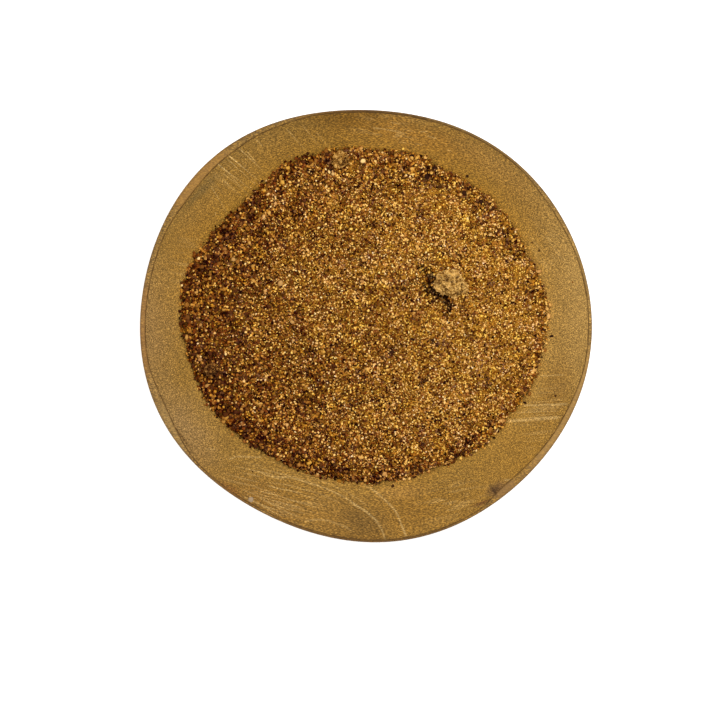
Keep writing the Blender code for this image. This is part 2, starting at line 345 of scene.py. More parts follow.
def new_material(name, gloss):
    """A material and the inputs of its Principled shader. Its tree goes on the bench."""
    made = bpy.data.materials.new(name)
    made.use_nodes = True
    bench["tree"] = made.node_tree
    surface = made.node_tree.nodes["Principled BSDF"].inputs
    surface["Specular IOR Level"].default_value = gloss
    return made, surface


def add_floor():
    """A wide pale floor that glows a little, so that the bowl's shadow stays faint."""
    mesh = bpy.data.meshes.new("floor")
    corners = [(x * FLOOR_HALF, y * FLOOR_HALF, 0.0) for x, y in ((-1, -1), (1, -1), (1, 1), (-1, 1))]
    mesh.from_pydata(corners, [], [(0, 1, 2, 3)])
    pale, surface = new_material("pale_floor", 0.1)
    surface["Base Color"].default_value = (0.86, 0.86, 0.86, 1.0)
    surface["Roughness"].default_value = 0.9
    surface["Emission Color"].default_value = (1.0, 1.0, 1.0, 1.0)
    surface["Emission Strength"].default_value = FLOOR_GLOW
    mesh.materials.append(pale)
    new_object("floor", mesh)


add_floor()
print("floor is", 2 * FLOOR_HALF, "m wide")

# %% [markdown]
# ## Helpers for meshes
# Rings and grains are worked out as arrays and handed to Blender in one go, which is far
# quicker than adding face after face.


# %% Mesh from arrays
def mesh_from_arrays(name, places, faces):
    """A smooth object from points and faces. All faces have as many corners."""
    mesh = bpy.data.meshes.new(name)
    count, corners = faces.shape
    mesh.vertices.add(len(places))
    mesh.vertices.foreach_set("co", np.asarray(places, np.float32).ravel())
    mesh.loops.add(count * corners)
    mesh.loops.foreach_set("vertex_index", faces.astype(np.int32).ravel())
    mesh.polygons.add(count)
    mesh.polygons.foreach_set("loop_start", np.arange(0, count * corners, corners, dtype=np.int32))
    mesh.update(calc_edges=True)
    mesh.validate()
    mesh.polygons.foreach_set("use_smooth", np.ones(count, bool))
    return new_object(name, mesh)


def mark(piece, name, values):
    """Keeps one number for each point, which a material can read by its name."""
    kept = piece.data.attributes.new(name, "FLOAT", "POINT").data
    kept.foreach_set("value", np.asarray(values, np.float32))


made_triangles = []                 # one number for each piece that is done


def hand_over(piece, finish, node="ground_nutmeg", slot="nutmeg_powder"):
    """Gives a piece its finish, and lets it stand for the solid that it refines."""
    piece.data.materials.clear()
    piece.data.materials.append(finish)
    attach(piece, "root")
    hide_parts(node)
    made_triangles.append(sum(len(face.vertices) - 2 for face in piece.data.polygons))
    print(piece.name, "has", made_triangles[-1], "triangles")


# %% [markdown]
# ## Helpers for materials
# These helpers add one node each to the tree on the bench. What a node puts out is
# wrapped, so that plain arithmetic adds the Math nodes and a finish reads as a recipe.

# %% Node helpers
class Value:
    """One output of a node. Arithmetic with it adds Math nodes."""

    def __init__(self, socket):
        self.socket = socket

    def __add__(self, other):
        return calc("ADD", self, other)

    def __sub__(self, other):
        return calc("SUBTRACT", self, other)

    def __mul__(self, other):
        return calc("MULTIPLY", self, other)

    def beside(self, name):
        """Another output of the same node."""
        return Value(self.socket.node.outputs[name])


def feed(socket, value):
    """Links a socket to what a node puts out, or sets it to a plain value."""
    if isinstance(value, Value):
        bench["tree"].links.new(value.socket, socket)
    else:
        socket.default_value = value


def add(kind, inputs, output=0, **settings):
    """A node of a kind with its inputs fed, by name or by number. Gives back one output."""
    made = bench["tree"].nodes.new("ShaderNode" + kind)
    for name, value in settings.items():
        setattr(made, name, value)
    for name, value in inputs.items():
        feed(made.inputs[name], value)
    return Value(made.outputs[output])


def calc(operation, *values):
    return add("Math", dict(enumerate(values)), operation=operation)


def vector(operation, *values, **more):
    return add("VectorMath", dict(enumerate(values)) | more, operation=operation)


def spread(value, low, high, to_low=0.0, to_high=1.0):
    """Stretches a value's range to another one, clamped at both ends."""
    inputs = {0: value, 1: low, 2: high, 3: to_low, 4: to_high}
    return add("MapRange", inputs, interpolation_type="SMOOTHSTEP")


def cloud(place, scale, detail=2.0, roughness=0.5, output=0):
    inputs = {"Vector": place, "Scale": scale, "Detail": detail, "Roughness": roughness}
    return add("TexNoise", inputs, output)


def blend(factor, first, second, blend_type="MIX"):
    """Mixes two colours."""
    return add("Mix", {0: factor, 6: first, 7: second}, 2, data_type="RGBA", blend_type=blend_type)


def attribute(name):
    return add("Attribute", {}, "Fac", attribute_name=name)


def x_of(place):
    """The X of a place. Its Y and Z are beside it."""
    return add("SeparateXYZ", {"Vector": place})


def bump(surface, height, depth_mm, strength=1.0):
    """Relief of a given depth in the light alone."""
    inputs = {"Height": height, "Distance": depth_mm * MM, "Strength": strength}
    feed(surface["Normal"], add("Bump", inputs))


def tint(red, green, blue):
    """A screen colour, 0 to 255, as the numbers that light follows."""
    shares = [value / 255.0 for value in (red, green, blue)]
    return tuple(s / 12.92 if s <= 0.04045 else ((s + 0.055) / 1.055) ** 2.4 for s in shares) + (1.0,)


def millimetres():
    """A point's place on the object, in millimetres."""
    return vector("MULTIPLY", add("TexCoord", {}, "Object"), (1.0 / MM,) * 3)


print("one millimetre is", MM, "m")


# %% Node groups
ORIGIN = (0.0, 0.0, 0.0)


def new_group(name, outputs, **inputs):
    """Puts an empty group on the bench. Gives back what comes into it and what goes out."""
    tree = bpy.data.node_groups.new(name, "ShaderNodeTree")
    bench["tree"] = tree
    for label, value in inputs.items():
        kind = {3: "Vector", 4: "Color"}[len(value)] if isinstance(value, tuple) else "Float"
        socket = tree.interface.new_socket(label, in_out="INPUT", socket_type="NodeSocket" + kind)
        socket.default_value = value
    for label, kind in outputs.items():
        tree.interface.new_socket(label, in_out="OUTPUT", socket_type="NodeSocket" + kind)
    given = {socket.name: Value(socket) for socket in tree.nodes.new("NodeGroupInput").outputs}
    return given, tree.nodes.new("NodeGroupOutput").inputs


def put(group, **inputs):
    """Places a group in the tree on the bench. Gives back its first output."""
    return add("Group", inputs, node_tree=group)


def turned(place, turn):
    return add("VectorRotate", {"Vector": place, "Angle": turn}, rotation_type="Z_AXIS")


def three(x, y, z):
    return add("CombineXYZ", {0: x, 1: y, 2: z})


print("a group's inputs are numbers, vectors or colours")

# %% [markdown]
# ## Shared effects
# Fibres, patches, lines, growth rings and speckle come back many times. Each is one
# group, so a change to it reaches every finish that uses it.


# %% Fibres
def make_fibres():
    """Lines long one way and close together the other way: 1 on a line, 0 between."""
    given, out = new_group("fibres", {"Lines": "Float"}, Place=ORIGIN, Turn=0.0, Length=8.0, Spacing=0.4,
                           Wander=1.0, Detail=3.0)
    sway = vector("SCALE", cloud(given["Place"], 0.06, 1.0, output="Color"), Scale=given["Wander"])
    along = calc("DIVIDE", 1.0, given["Length"])
    across = calc("DIVIDE", 1.0, given["Spacing"])
    place = turned(vector("ADD", given["Place"], sway), given["Turn"])
    lines = cloud(vector("MULTIPLY", place, three(along, across, across)), 1.0, given["Detail"], 0.6)
    feed(out["Lines"], spread(lines, 0.3, 0.7))
    return bench["tree"]


FIBRES = make_fibres()
print("group:", FIBRES.name)


# %% Soft patch
def make_patch():
    """A patch with a soft ragged edge, in plan: 1 in its middle, 0 outside."""
    given, out = new_group("patch", {"Mask": "Float"}, Place=ORIGIN, Centre=ORIGIN, Turn=0.0, Length=5.0,
                           Width=5.0, Torn=ORIGIN, Ragged=1.0)
    torn = vector("SCALE", given["Torn"], Scale=given["Ragged"])
    offset = vector("SUBTRACT", vector("ADD", given["Place"], torn), given["Centre"])
    size = three(calc("DIVIDE", 1.0, given["Length"]), calc("DIVIDE", 1.0, given["Width"]), 0.0)
    far = vector("LENGTH", vector("MULTIPLY", turned(offset, given["Turn"]), size)).beside("Value")
    feed(out["Mask"], spread(far, 1.0, 0.0))
    return bench["tree"]


def tear(place):
    """An uneven push to all sides, which makes the patches' edges ragged."""
    return vector("SUBTRACT", cloud(place, 0.45, 4.0, output="Color"), (0.5, 0.5, 0.5))


PATCH = make_patch()
print("group:", PATCH.name)


# %% Straight line
def make_line():
    """A thin straight line in plan: 1 along its middle, 0 outside."""
    given, out = new_group("line", {"Mask": "Float"}, Place=ORIGIN, Centre=ORIGIN, Turn=0.0, Length=5.0,
                           Width=0.2)
    sides = x_of(turned(vector("SUBTRACT", given["Place"], given["Centre"]), given["Turn"]))
    along = calc("DIVIDE", calc("ABSOLUTE", sides), given["Length"])
    across = calc("DIVIDE", calc("ABSOLUTE", sides.beside("Y")), given["Width"])
    feed(out["Mask"], spread(along, 1.0, 0.75) * spread(across, 1.0, 0.0))
    return bench["tree"]


LINE = make_line()
print("group:", LINE.name)


# %% Growth ring
def make_ring():
    """A thin curved line of a given radius round a centre, in plan."""
    given, out = new_group("growth_ring", {"Mask": "Float"}, Place=ORIGIN, Centre=ORIGIN, Radius=10.0,
                           Width=0.4, Wander=0.6)
    flat = vector("MULTIPLY", given["Place"], (1.0, 1.0, 0.0))
    far = vector("DISTANCE", flat, given["Centre"]).beside("Value")
    off = calc("ABSOLUTE", (cloud(flat, 0.25) - 0.5) * given["Wander"] + far - given["Radius"])
    line = spread(calc("DIVIDE", off, given["Width"]), 1.0, 0.0)
    feed(out["Mask"], line * spread(cloud(flat, 0.9, 3.0, 0.7), 0.3, 0.6, 0.35, 1.0))
    return bench["tree"]


RING = make_ring()
print("group:", RING.name)


# %% Speckle
def make_speckle():
    """Fine light and dark speckle, from 0 to 1, with a size in millimetres."""
    given, out = new_group("speckle", {"Value": "Float"}, Place=ORIGIN, Size=0.3, Clear=0.5)
    fine = cloud(given["Place"], calc("DIVIDE", 1.0, given["Size"]), 2.0, 0.7)
    feed(out["Value"], spread(fine, given["Clear"] * -0.5 + 0.5, given["Clear"] * 0.5 + 0.5))
    return bench["tree"]


SPECKLE = make_speckle()
print("group:", SPECKLE.name)

# %% [markdown]
# ## The bowl's mesh
# The solid bowl has broad facets. The fine one has 300 points round, and its rings lie
# close at the lip, where the knife left a small step with a thin groove at its foot.
# Each ring keeps marks for lip, groove and outer edge, which the finish reads.

# %% Rings of the bowl
AROUND = 300
FOOT_BANDS = 8
OUTER_BANDS = 46
EDGE_BANDS = 5
LIP_BANDS = 6
STEP_BANDS = 6
GROOVE_DEPTH = 0.06 * MM
WALL_BANDS = 46                     # the part of the hollow that shows
WALL_SHARE = 0.7
FLOOR_BANDS = 14
ANGLES = np.array(all_round(AROUND))
RIM_INSET = 0.03 * MM               # the fine outline stays inside the solid's facets
RIM = np.array([rim_radius(angle) for angle in ANGLES]) - RIM_INSET
LIP = np.array([lip_width(angle) for angle in ANGLES])
HOLLOW = np.array([hollow_radius(angle) for angle in ANGLES])


def steps(count):
    """Even shares of a way, from the first step to 1."""
    return [step / count for step in range(1, count + 1)]


def bowl_rings():
    """Radius, height, and marks for lip, groove and edge of each ring, from the foot inwards."""
    rings = [(RIM * FOOT_SHARE * step * 0.99, 0.0, 0.0, 0.0, 0.0) for step in steps(FOOT_BANDS)]
    for step in steps(OUTER_BANDS):
        share = step ** 1.7
        flare = FOOT_SHARE + (1.0 - FOOT_SHARE) * share ** OUTER_CURVE
        edge = max(0.0, 1.0 - (1.0 - share) * 30.0)
        rings.append((RIM * flare, (BOWL_HEIGHT - EDGE_ROUND) * share, 0.0, 0.0, edge))
    for step in steps(EDGE_BANDS):
        inset = 0.5 * EDGE_ROUND * (1.0 - math.cos(0.5 * math.pi * step))
        below = EDGE_ROUND * (1.0 - math.sin(0.5 * math.pi * step))
        rings.append((RIM - inset, BOWL_HEIGHT - below, 0.5, 0.0, 1.0 - 0.5 * step))
    for step in steps(LIP_BANDS):
        inset = 0.5 * EDGE_ROUND * (1.0 - step) + LIP * step
        rings.append((RIM - inset, BOWL_HEIGHT, 1.0, 0.0, 0.4 * (1.0 - step) ** 3))
    for step in steps(STEP_BANDS):
        down = LIP_DROP * (0.5 - 0.5 * math.cos(math.pi * step))
        down += GROOVE_DEPTH * math.sin(math.pi * step) ** 2
        line = smooth_step(step, 0.2, 0.7)
        rings.append((RIM - LIP - LIP_RUN * step, BOWL_HEIGHT - down, 1.0 - line, line, 0.0))
    shares = [1.0 - (1.0 - WALL_SHARE) * step ** 1.2 for step in steps(WALL_BANDS)]
    shares += [WALL_SHARE * (1.0 - step) for step in steps(FLOOR_BANDS)[:-1]]
    return rings + [(HOLLOW * share, hollow_level(share), 0.0, 0.0, 0.0) for share in shares]


rings = bowl_rings()
print(len(rings), "rings of", AROUND, "points")


# %% Skin of the bowl
def bowl_skin():
    """One closed skin over all rings, with a fan at the foot and one in the hollow."""
    places = []
    marks = []
    for radius, height, *ring_marks in rings:
        x = BOWL_MIDDLE.x + radius * np.cos(ANGLES)
        y = BOWL_MIDDLE.y + radius * np.sin(ANGLES)
        places.append(np.stack([x, y, np.full(AROUND, height)], 1))
        marks.append(np.tile(ring_marks, (AROUND, 1)))
    places.append([(*BOWL_MIDDLE, 0.0), (*BOWL_MIDDLE, hollow_height(*BOWL_MIDDLE))])
    marks.append(np.zeros((2, 3)))
    step = np.arange(AROUND)
    ahead = (step + 1) % AROUND
    faces = []
    for low in range(0, (len(rings) - 1) * AROUND, AROUND):
        high = low + AROUND
        faces.append(np.stack([low + step, low + ahead, high + ahead], 1))
        faces.append(np.stack([low + step, high + ahead, high + step], 1))
    foot = len(rings) * AROUND
    last = foot - AROUND
    faces.append(np.stack([np.full(AROUND, foot), ahead, step], 1))
    faces.append(np.stack([np.full(AROUND, foot + 1), last + step, last + ahead], 1))
    return np.concatenate(places), np.concatenate(faces), np.concatenate(marks)


print("the hollow's middle lies at mm:", round(1000 * hollow_height(*BOWL_MIDDLE), 2))

# %% Tool marks
TOOL_MARK = 0.07 * MM               # how far the blade's flat strokes cut in
TOOL_WIDTH = 5.0 * MM


def tool_marks(places):
    """How deep the blade's last flat strokes cut in at each place."""
    depths = []
    for x, y, z in places:
        near, next_near = noise.voronoi(Vector((x, y, z - BOWL_HEIGHT / 2.0)) / TOOL_WIDTH)[0][:2]
        depths.append(min(next_near - near, 1.0))
    return TOOL_MARK * np.array(depths)


def make_bowl():
    """The bowl's skin, with shallow tool marks cut into belly, wall and hollow."""
    places, faces, marks = bowl_skin()
    outer = slice(FOOT_BANDS * AROUND, (FOOT_BANDS + OUTER_BANDS - 2) * AROUND)
    inner_bands = FOOT_BANDS + OUTER_BANDS + EDGE_BANDS + LIP_BANDS + STEP_BANDS + 3
    inner = slice(inner_bands * AROUND, len(places) - 2)
    away = places[outer, :2] - np.array(BOWL_MIDDLE)
    away /= np.linalg.norm(away, axis=1, keepdims=True)
    places[outer, :2] -= away * tool_marks(places[outer])[:, None]
    places[inner, 2] -= tool_marks(places[inner]) * 0.6
    made = mesh_from_arrays("carved_bowl", places, faces)
    for column, name in enumerate(("lip", "groove", "edge")):
        mark(made, name, marks[:, column])
    return made


bowl = make_bowl()
print("the bowl has", len(bowl.data.vertices), "points")

# %% [markdown]
# ### How near the powder is
# The wood just outside the powder is tinted warmer, and brightened with painted light against the shadow
# that the powder's edge casts. Each point of the bowl keeps its distance from the powder's edge, which a
# texture could not know.

# %% Mark the wood near the powder
FAR_OUTSIDE = 20.0                  # in mm: the warm tint and the painted light near the powder stay off the outer wall and the foot


def mark_wood():
    """Marks how far each point lies outside the powder, and whether it is inside the edge."""
    beyond = []
    for vert in bowl.data.vertices:
        offset = Vector(vert.co[:2]) - POWDER_MIDDLE
        beyond.append((offset.length - powder_radius(angle_of(offset))) / MM)
    inside = np.ones(len(beyond))
    outside_points = (FOOT_BANDS + OUTER_BANDS) * AROUND
    inside[:outside_points] = inside[-2] = 0.0
    beyond = np.where(inside > 0.0, beyond, FAR_OUTSIDE)
    mark(bowl, "beyond", beyond)
    mark(bowl, "inside", inside)
    return beyond


print("wood reaches beyond the powder by up to", round(float(mark_wood().max()), 1), "mm")

# %% [markdown]
# ## Wood
# The bowl is a pale olive-brown hardwood, dry and sanded, with fine fibres, a few pale
# growth rings at the front, soft darker patches, short pores and a fine speckle. The
# figure is worked out at each point in space, so it has no seams.

# %% Wood colours
WOOD_PALE = tint(158, 121, 58)
WOOD_DEEP = tint(142, 107, 46)
WOOD_WARM = tint(146, 105, 34)
WOOD_DARK = tint(92, 66, 24)
WOOD_LINE = tint(204, 168, 104)
WOOD_GROOVE = tint(80, 54, 22)
WOOD_EDGE_SHADE = tint(84, 58, 24)
WOOD_LIP_SHADE = tint(121, 89, 40)

# Growth rings at the front: centre in mm, radius, half width in mm, strength, and where each
# shows: column and row in the picture, its turn in degrees and half its length in mm.
RINGS = (
    (-19.9, -59.6, 33.2, 0.26, 0.55, 325, 500, -22, 13.5),
    (-5.3, -40.1, 12.7, 0.34, 0.55, 391, 511, -54, 8.5),
    (-8.3, -43.8, 9.4, 0.3, 0.32, 328, 524, -10, 5.5), (-19.9, -59.6, 34.2, 0.2, 0.3, 330, 498, -22, 9),
    (-19.9, -59.6, 31.9, 0.22, 0.3, 300, 500, -12, 9), (-5.3, -40.1, 8.95, 0.3, 0.45, 374, 519, -52, 6.5),
)
# Pale lines by their two ends in the picture: start, end, half width in mm, strength.
PALE_LINES = (
    (227, 154, 261, 182, 0.08, 0.95), (226, 158, 256, 184, 0.07, 0.7), (215, 162, 252, 190, 0.08, 0.9),
    (232, 177, 250, 197, 0.08, 0.8), (222, 179, 243, 198, 0.08, 0.75), (210, 185, 228, 214, 0.08, 0.7),
    (238, 147, 262, 170, 0.07, 0.7), (246, 150, 256, 162, 0.07, 0.6), (286, 128, 306, 150, 0.07, 0.5),
    (302, 124, 320, 146, 0.07, 0.4), (316, 131, 330, 148, 0.07, 0.5), (222, 172, 246, 192, 0.1, 0.4),
    (255, 139, 263, 146, 0.09, 0.35), (522, 406, 570, 404, 0.16, 0.65), (505, 422, 563, 417, 0.24, 0.6),
    (515, 413, 560, 411, 0.12, 0.3), (540, 376, 566, 375, 0.12, 0.4), (504, 480, 511, 480, 0.14, 0.5),
    (228, 460, 236, 457, 0.12, 0.45), (235, 457, 263, 458, 0.13, 0.5), (205, 449, 215, 450, 0.1, 0.35),
    (270, 477, 286, 479, 0.12, 0.45), (373, 128, 380, 128, 0.1, 0.5), (396, 135, 401, 135, 0.1, 0.5),
    (398, 141, 407, 142, 0.1, 0.5), (415, 143, 423, 144, 0.1, 0.5), (420, 131, 428, 131, 0.1, 0.45),
    (427, 135, 437, 138, 0.1, 0.5), (447, 149, 452, 151, 0.1, 0.45),
)
# Tones of the lip and the edge alone: column and row in the picture, turn, half length and half width
# in mm, strength, colour. The dark one at column 365, row 545 is painted shade along the bottom of the outer
# edge.
RIM_TONES = (
    (568, 410, 62, 20, 4, 0.6, (150, 114, 62)), (506, 489, 40, 3, 3, 0.7, (128, 94, 50)),
    (585, 262, 75, 11, 4, 0.4, (136, 110, 60)), (365, 545, 0, 34, 9, 0.75, (84, 56, 20)),
    (225, 505, -38, 12, 5, 0.6, (106, 72, 30)), (500, 148, -34, 17, 6, 0.55, (112, 88, 50)),
    (385, 110, 0, 14, 4, 0.75, (80, 54, 22)), (325, 111, 0, 9, 4, 0.4, (140, 102, 44)),
    (146, 330, 90, 12, 2, 0.5, (140, 96, 44)), (168, 430, -62, 9, 3, 0.3, (150, 120, 68)),
    (345, 111, 0, 8, 4, 0.6, (84, 56, 20)), (582, 282, 80, 7, 3, 0.55, (114, 84, 40)),
    (202, 178, 45, 10, 4, 0.5, (152, 108, 48)),
)
# Streaks: column and row of the patch in the picture, its turn, half length and half width in mm, then
# the streaks' own direction in degrees, their length and spacing in mm, strength.
STREAKS = (
    (232, 176, 45, 11, 5, -44, 9, 0.3, 0.15), (186, 262, 75, 8, 4, -8, 6, 0.5, 0.3),
    (388, 130, -5, 9, 3.5, -8, 2.6, 0.36, 0.45), (545, 250, -65, 9, 4.5, -52, 2.2, 0.34, 0.35),
    (542, 412, 65, 9, 5, 3, 8, 0.3, 0.3), (275, 488, -25, 13, 6, -14, 7, 0.28, 0.48),
    (262, 505, -32, 11, 5, -24, 5, 0.3, 0.35), (452, 500, 20, 10, 5, 12, 3, 0.4, 0.25),
)
# Patches: column and row in the picture, turn in degrees, half length and half width in mm, ragged,
# strength, colour. The first, pale one over the right wall is painted light: the brighter light on that
# side.
PATCHES = (
    (596, 280, 0, 17, 32, 5, 0.9, (176, 138, 74)), (525, 462, 45, 20, 12, 4, 0.7, (154, 112, 40)),
    (420, 512, 10, 17, 8, 4, 0.6, (144, 102, 34)), (410, 142, -16, 18, 5.5, 4, 0.7, (170, 118, 44)),
    (500, 176, -42, 15, 5, 4, 0.7, (160, 119, 56)), (347, 118, 0, 11, 6, 4, 0.75, (112, 77, 18)),
    (305, 512, -14, 26, 9, 4, 0.6, (138, 98, 36)), (258, 500, -32, 13, 5, 3, 0.5, (126, 88, 34)),
    (196, 450, -50, 8, 4, 3, 0.45, (128, 92, 40)), (556, 390, 78, 9, 3.5, 3, 0.45, (136, 94, 30)),
    (400, 493, 6, 7, 2.4, 2, 0.55, (166, 122, 58)), (362, 522, -18, 7, 4.5, 2.5, 0.6, (100, 74, 34)),
    (322, 542, 0, 20, 3.2, 2, 0.5, (106, 74, 28)), (196, 240, 60, 14, 6, 4, 0.45, (144, 104, 44)),
    (150, 330, 90, 18, 7, 4, 0.65, (144, 111, 65)), (182, 425, -56, 13, 6.5, 4, 0.75, (146, 114, 68)),
    (200, 192, 45, 6.5, 1.2, 1.6, 0.75, (108, 86, 44)), (229, 490, -36, 4, 1.2, 1.2, 0.6, (130, 82, 36)),
    (500, 487, 25, 3.2, 1.6, 1.6, 0.7, (132, 98, 56)), (496, 490, 30, 2.4, 1.5, 1, 1, (98, 70, 38)),
    (494, 491, -55, 2, 0.45, 0.5, 0.9, (66, 44, 22)), (482, 503, 23, 2.6, 0.6, 0.6, 0.85, (92, 56, 28)),
    (544, 190, -50, 1.6, 0.45, 0.8, 0.8, (80, 54, 22)), (181, 436, -55, 5, 0.3, 0.4, 0.85, (80, 54, 22)),
)
print(len(RINGS), "growth rings,", len(PALE_LINES), "pale lines,", len(STREAKS), "streaks,",
      len(PATCHES), "patches")


# %% Ground tone of the wood
def grain_lines(place, turn, length, spacing, wander, detail=3.0):
    return put(FIBRES, Place=place, Turn=math.radians(turn), Length=length, Spacing=spacing, Wander=wander,
               Detail=detail)


def wood_ground(place):
    """Slow changes from pale to deep, with fibres, pores and speckle."""
    colour = blend(spread(cloud(place, 0.045, 2.0, 0.55), 0.3, 0.7), WOOD_PALE, WOOD_DEEP)
    fibres = grain_lines(place, 8.0, 9.0, 0.45, 3.0)
    colour = blend(fibres * 0.3, colour, WOOD_DARK)
    colour = blend(grain_lines(place, -6.0, 30.0, 2.6, 6.0) * 0.2, colour, WOOD_WARM)
    pores = spread(grain_lines(place, 12.0, 1.6, 0.16, 2.0), 0.82, 1.0)
    colour = blend(pores * 0.4, colour, WOOD_DARK)
    coarse = put(SPECKLE, Place=place, Size=0.42, Clear=0.3)
    fine = grain_lines(place, 6.0, 0.42, 0.15, 3.0)
    return colour, fibres, pores, fine * 0.85 + coarse * 0.15


print("the ground of the wood has 4 sets of fibres between", WOOD_PALE[:3], "and", WOOD_DEEP[:3])


# %% Figure of the wood
def patch(place, torn, column, row, turn, length, width, ragged):
    """A soft patch round a pixel of the picture: its turn in degrees, its half sides in mm."""
    centre = (*from_picture(column, row) / MM, 0.0)
    return put(PATCH, Place=place, Centre=centre, Turn=-math.radians(turn), Length=length, Width=width,
               Torn=torn, Ragged=ragged)


def pale_line(place, column, row, last_column, last_row, half_width):
    """The mask of a thin line between two points of the picture."""
    first = from_picture(column, row) / MM
    last = from_picture(last_column, last_row) / MM
    along = last - first
    return put(LINE, Place=place, Centre=(*(first + last) / 2.0, 0.0), Turn=-angle_of(along),
               Length=along.length / 2.0, Width=half_width * 2.0)


def wood_figure(place, torn, colour):
    """Patches, growth rings, pale lines and streaks over the ground tone."""
    for *shape, strength, tone in PATCHES:
        colour = blend(patch(place, torn, *shape) * strength, colour, tint(*tone))
    for x, y, radius, width, strength, column, row, turn, length in RINGS:
        ring = put(RING, Place=place, Centre=(x, y, 0.0), Radius=radius, Width=width, Wander=0.7)
        shown = spread(patch(place, torn, column, row, turn, length, 5.0, 1.0), 0.0, 0.35)
        colour = blend(ring * shown * strength, colour, WOOD_LINE)
    inside = attribute("inside")
    bent = vector("MULTIPLY_ADD", torn, (0.3, 0.3, 0.3), place)
    broken = spread(cloud(place, 1.6), 0.25, 0.55, 0.6, 1.0) * inside
    for *shape, strength in PALE_LINES:
        colour = blend(pale_line(bent, *shape) * broken * strength, colour, WOOD_LINE)
    flat = vector("MULTIPLY", place, (1.0, 1.0, 0.0))
    for *shape, way, long, apart, strength in STREAKS:
        lines = spread(grain_lines(flat, -way, long, apart, 0.3, 0.6), 0.55, 0.9) * inside
        colour = blend(patch(place, torn, *shape, 3.0) * lines * strength, colour, WOOD_LINE)
    return colour


print("the figure has", len(PATCHES) + 2 * len(RINGS) + len(PALE_LINES) + 2 * len(STREAKS), "groups")


# %% Finish of the wood
def tint_near_powder(place, colour, speckle):
    """A warmer tint beside the powder, most at the top, and the speckle. Painted light brightens the wood
    next to the powder against the shadow of its edge, and a little more within 3 mm towards the right.
    """
    x = x_of(place)
    y = x.beside("Y")
    beyond = attribute("beyond")
    warm_tint = spread(beyond, 6.5, 0.0) * (spread(y, -8.0, 26.0) * 0.6 + 0.2)
    colour = blend(warm_tint, colour, WOOD_WARM)
    rightward = spread(y * -0.3 + x, -2.0, 14.0)
    # painted light: the wood is brightened next to the powder to cancel the shadow that the powder's edge
    # casts
    painted_light_near_powder = spread(beyond, 1.4, -0.2, 1.0, 1.22) + rightward * spread(beyond, 3.2, 0.6, 0.0, 0.11)
    shade = (speckle * speckle * 1.85 + 0.41) * painted_light_near_powder
    return blend(1.0, colour, add("CombineColor", {0: shade, 1: shade, 2: shade}), "MULTIPLY")


def make_wood():
    """Bare hardwood with its dark groove, painted shade on its lip and outer edge, and the warmer tint
    beside the powder.
    """
    made, surface = new_material("carved_wood", 0.18)
    place = millimetres()
    torn = tear(place)
    colour, fibres, pores, speckle = wood_ground(place)
    colour = wood_figure(place, torn, colour)
    lip = attribute("lip")
    edge = attribute("edge")
    # painted shade: the flat lip is darkened so that it shows no brighter than the sloping wall, though it
    # gets more light
    colour = blend(lip * spread(cloud(place, 0.9, 3.0, 0.7), 0.35, 0.65, 0.2, 0.75), colour, WOOD_LIP_SHADE)
    colour = tint_near_powder(place, colour, speckle)
    patchy = put(SPECKLE, Place=place, Size=1.8, Clear=0.3)
    colour = blend(attribute("groove") * spread(patchy, 0.0, 1.0, 0.55, 1.0), colour, WOOD_GROOVE)
    # painted shade: the outer edge, which turns down and away from the light, is darkened
    colour = blend(edge * spread(patchy, 0.0, 1.0, 0.6, 1.0), colour, WOOD_EDGE_SHADE)
    border = calc("MAXIMUM", lip, edge)
    for *shape, strength, tone in RIM_TONES:
        mask = spread(patch(place, torn, *shape, 2.0), 0.0, 0.5)
        colour = blend(mask * (border * strength), colour, tint(*tone))
    feed(surface["Base Color"], colour)
    feed(surface["Roughness"], speckle * 0.16 + (pores * 0.1 + 0.56))
    bump(surface, fibres * 0.5 + speckle * 0.6 - pores, 0.03, 0.8)
    return made


hand_over(bowl, make_wood(), "bowl", "carved_wood")

# %% [markdown]
# ## The powder's core
# Under the loose grains lies packed powder: one closed skin with a bumpy top and an
# underside that follows the hollow. Its points lie on a sunflower spiral, which spreads
# them evenly without rows.

# %% Core of the powder
CORE_POINTS = 20000
CORE_EDGE_POINTS = 420
CORE_UNDER_POINTS = 1500
CORE_SINK = 0.2 * MM
CORE_RETREAT = 0.35 * MM            # the core ends under the grains, so that only grains make the edge
CORE_RELIEF = 0.16 * MM
CORE_GAP_BELOW = 0.03 * MM          # between the core and the wall
CORE_LEAST = 0.12 * MM              # the top stays this far over the wall


def core_place(share, angle):
    """A place at a share of the way out to the core's edge."""
    return POWDER_MIDDLE + polar(share * (spill_radius(angle) - CORE_RETREAT), angle)


def spiral_places(count, reach):
    """Evenly spread places inside the powder's outline, on a sunflower spiral."""
    turn = math.pi * (3.0 - math.sqrt(5.0))
    return [core_place(reach * math.sqrt((step + 0.5) / count), step * turn) for step in range(count)]


def skin(edge, inside):
    """Triangles over an edge ring and the places inside it."""
    places = edge + inside
    border = [(step, (step + 1) % len(edge)) for step in range(len(edge))]
    return [tuple(face) for face in delaunay_2d_cdt(places, border, [list(range(len(edge)))], 1, 1e-9)[2]]


def core_height(x, y):
    """The core's bumpy top: packed grains of two sizes, kept over the wall."""
    bumps = uneven(x, y, 0.0, 0.55 * MM) + 0.7 * uneven(x, y, 0.004, 0.3 * MM)
    low = hollow_height(x, y) + CORE_LEAST
    return max(surface_height(x, y) - CORE_SINK + CORE_RELIEF * bumps, low)


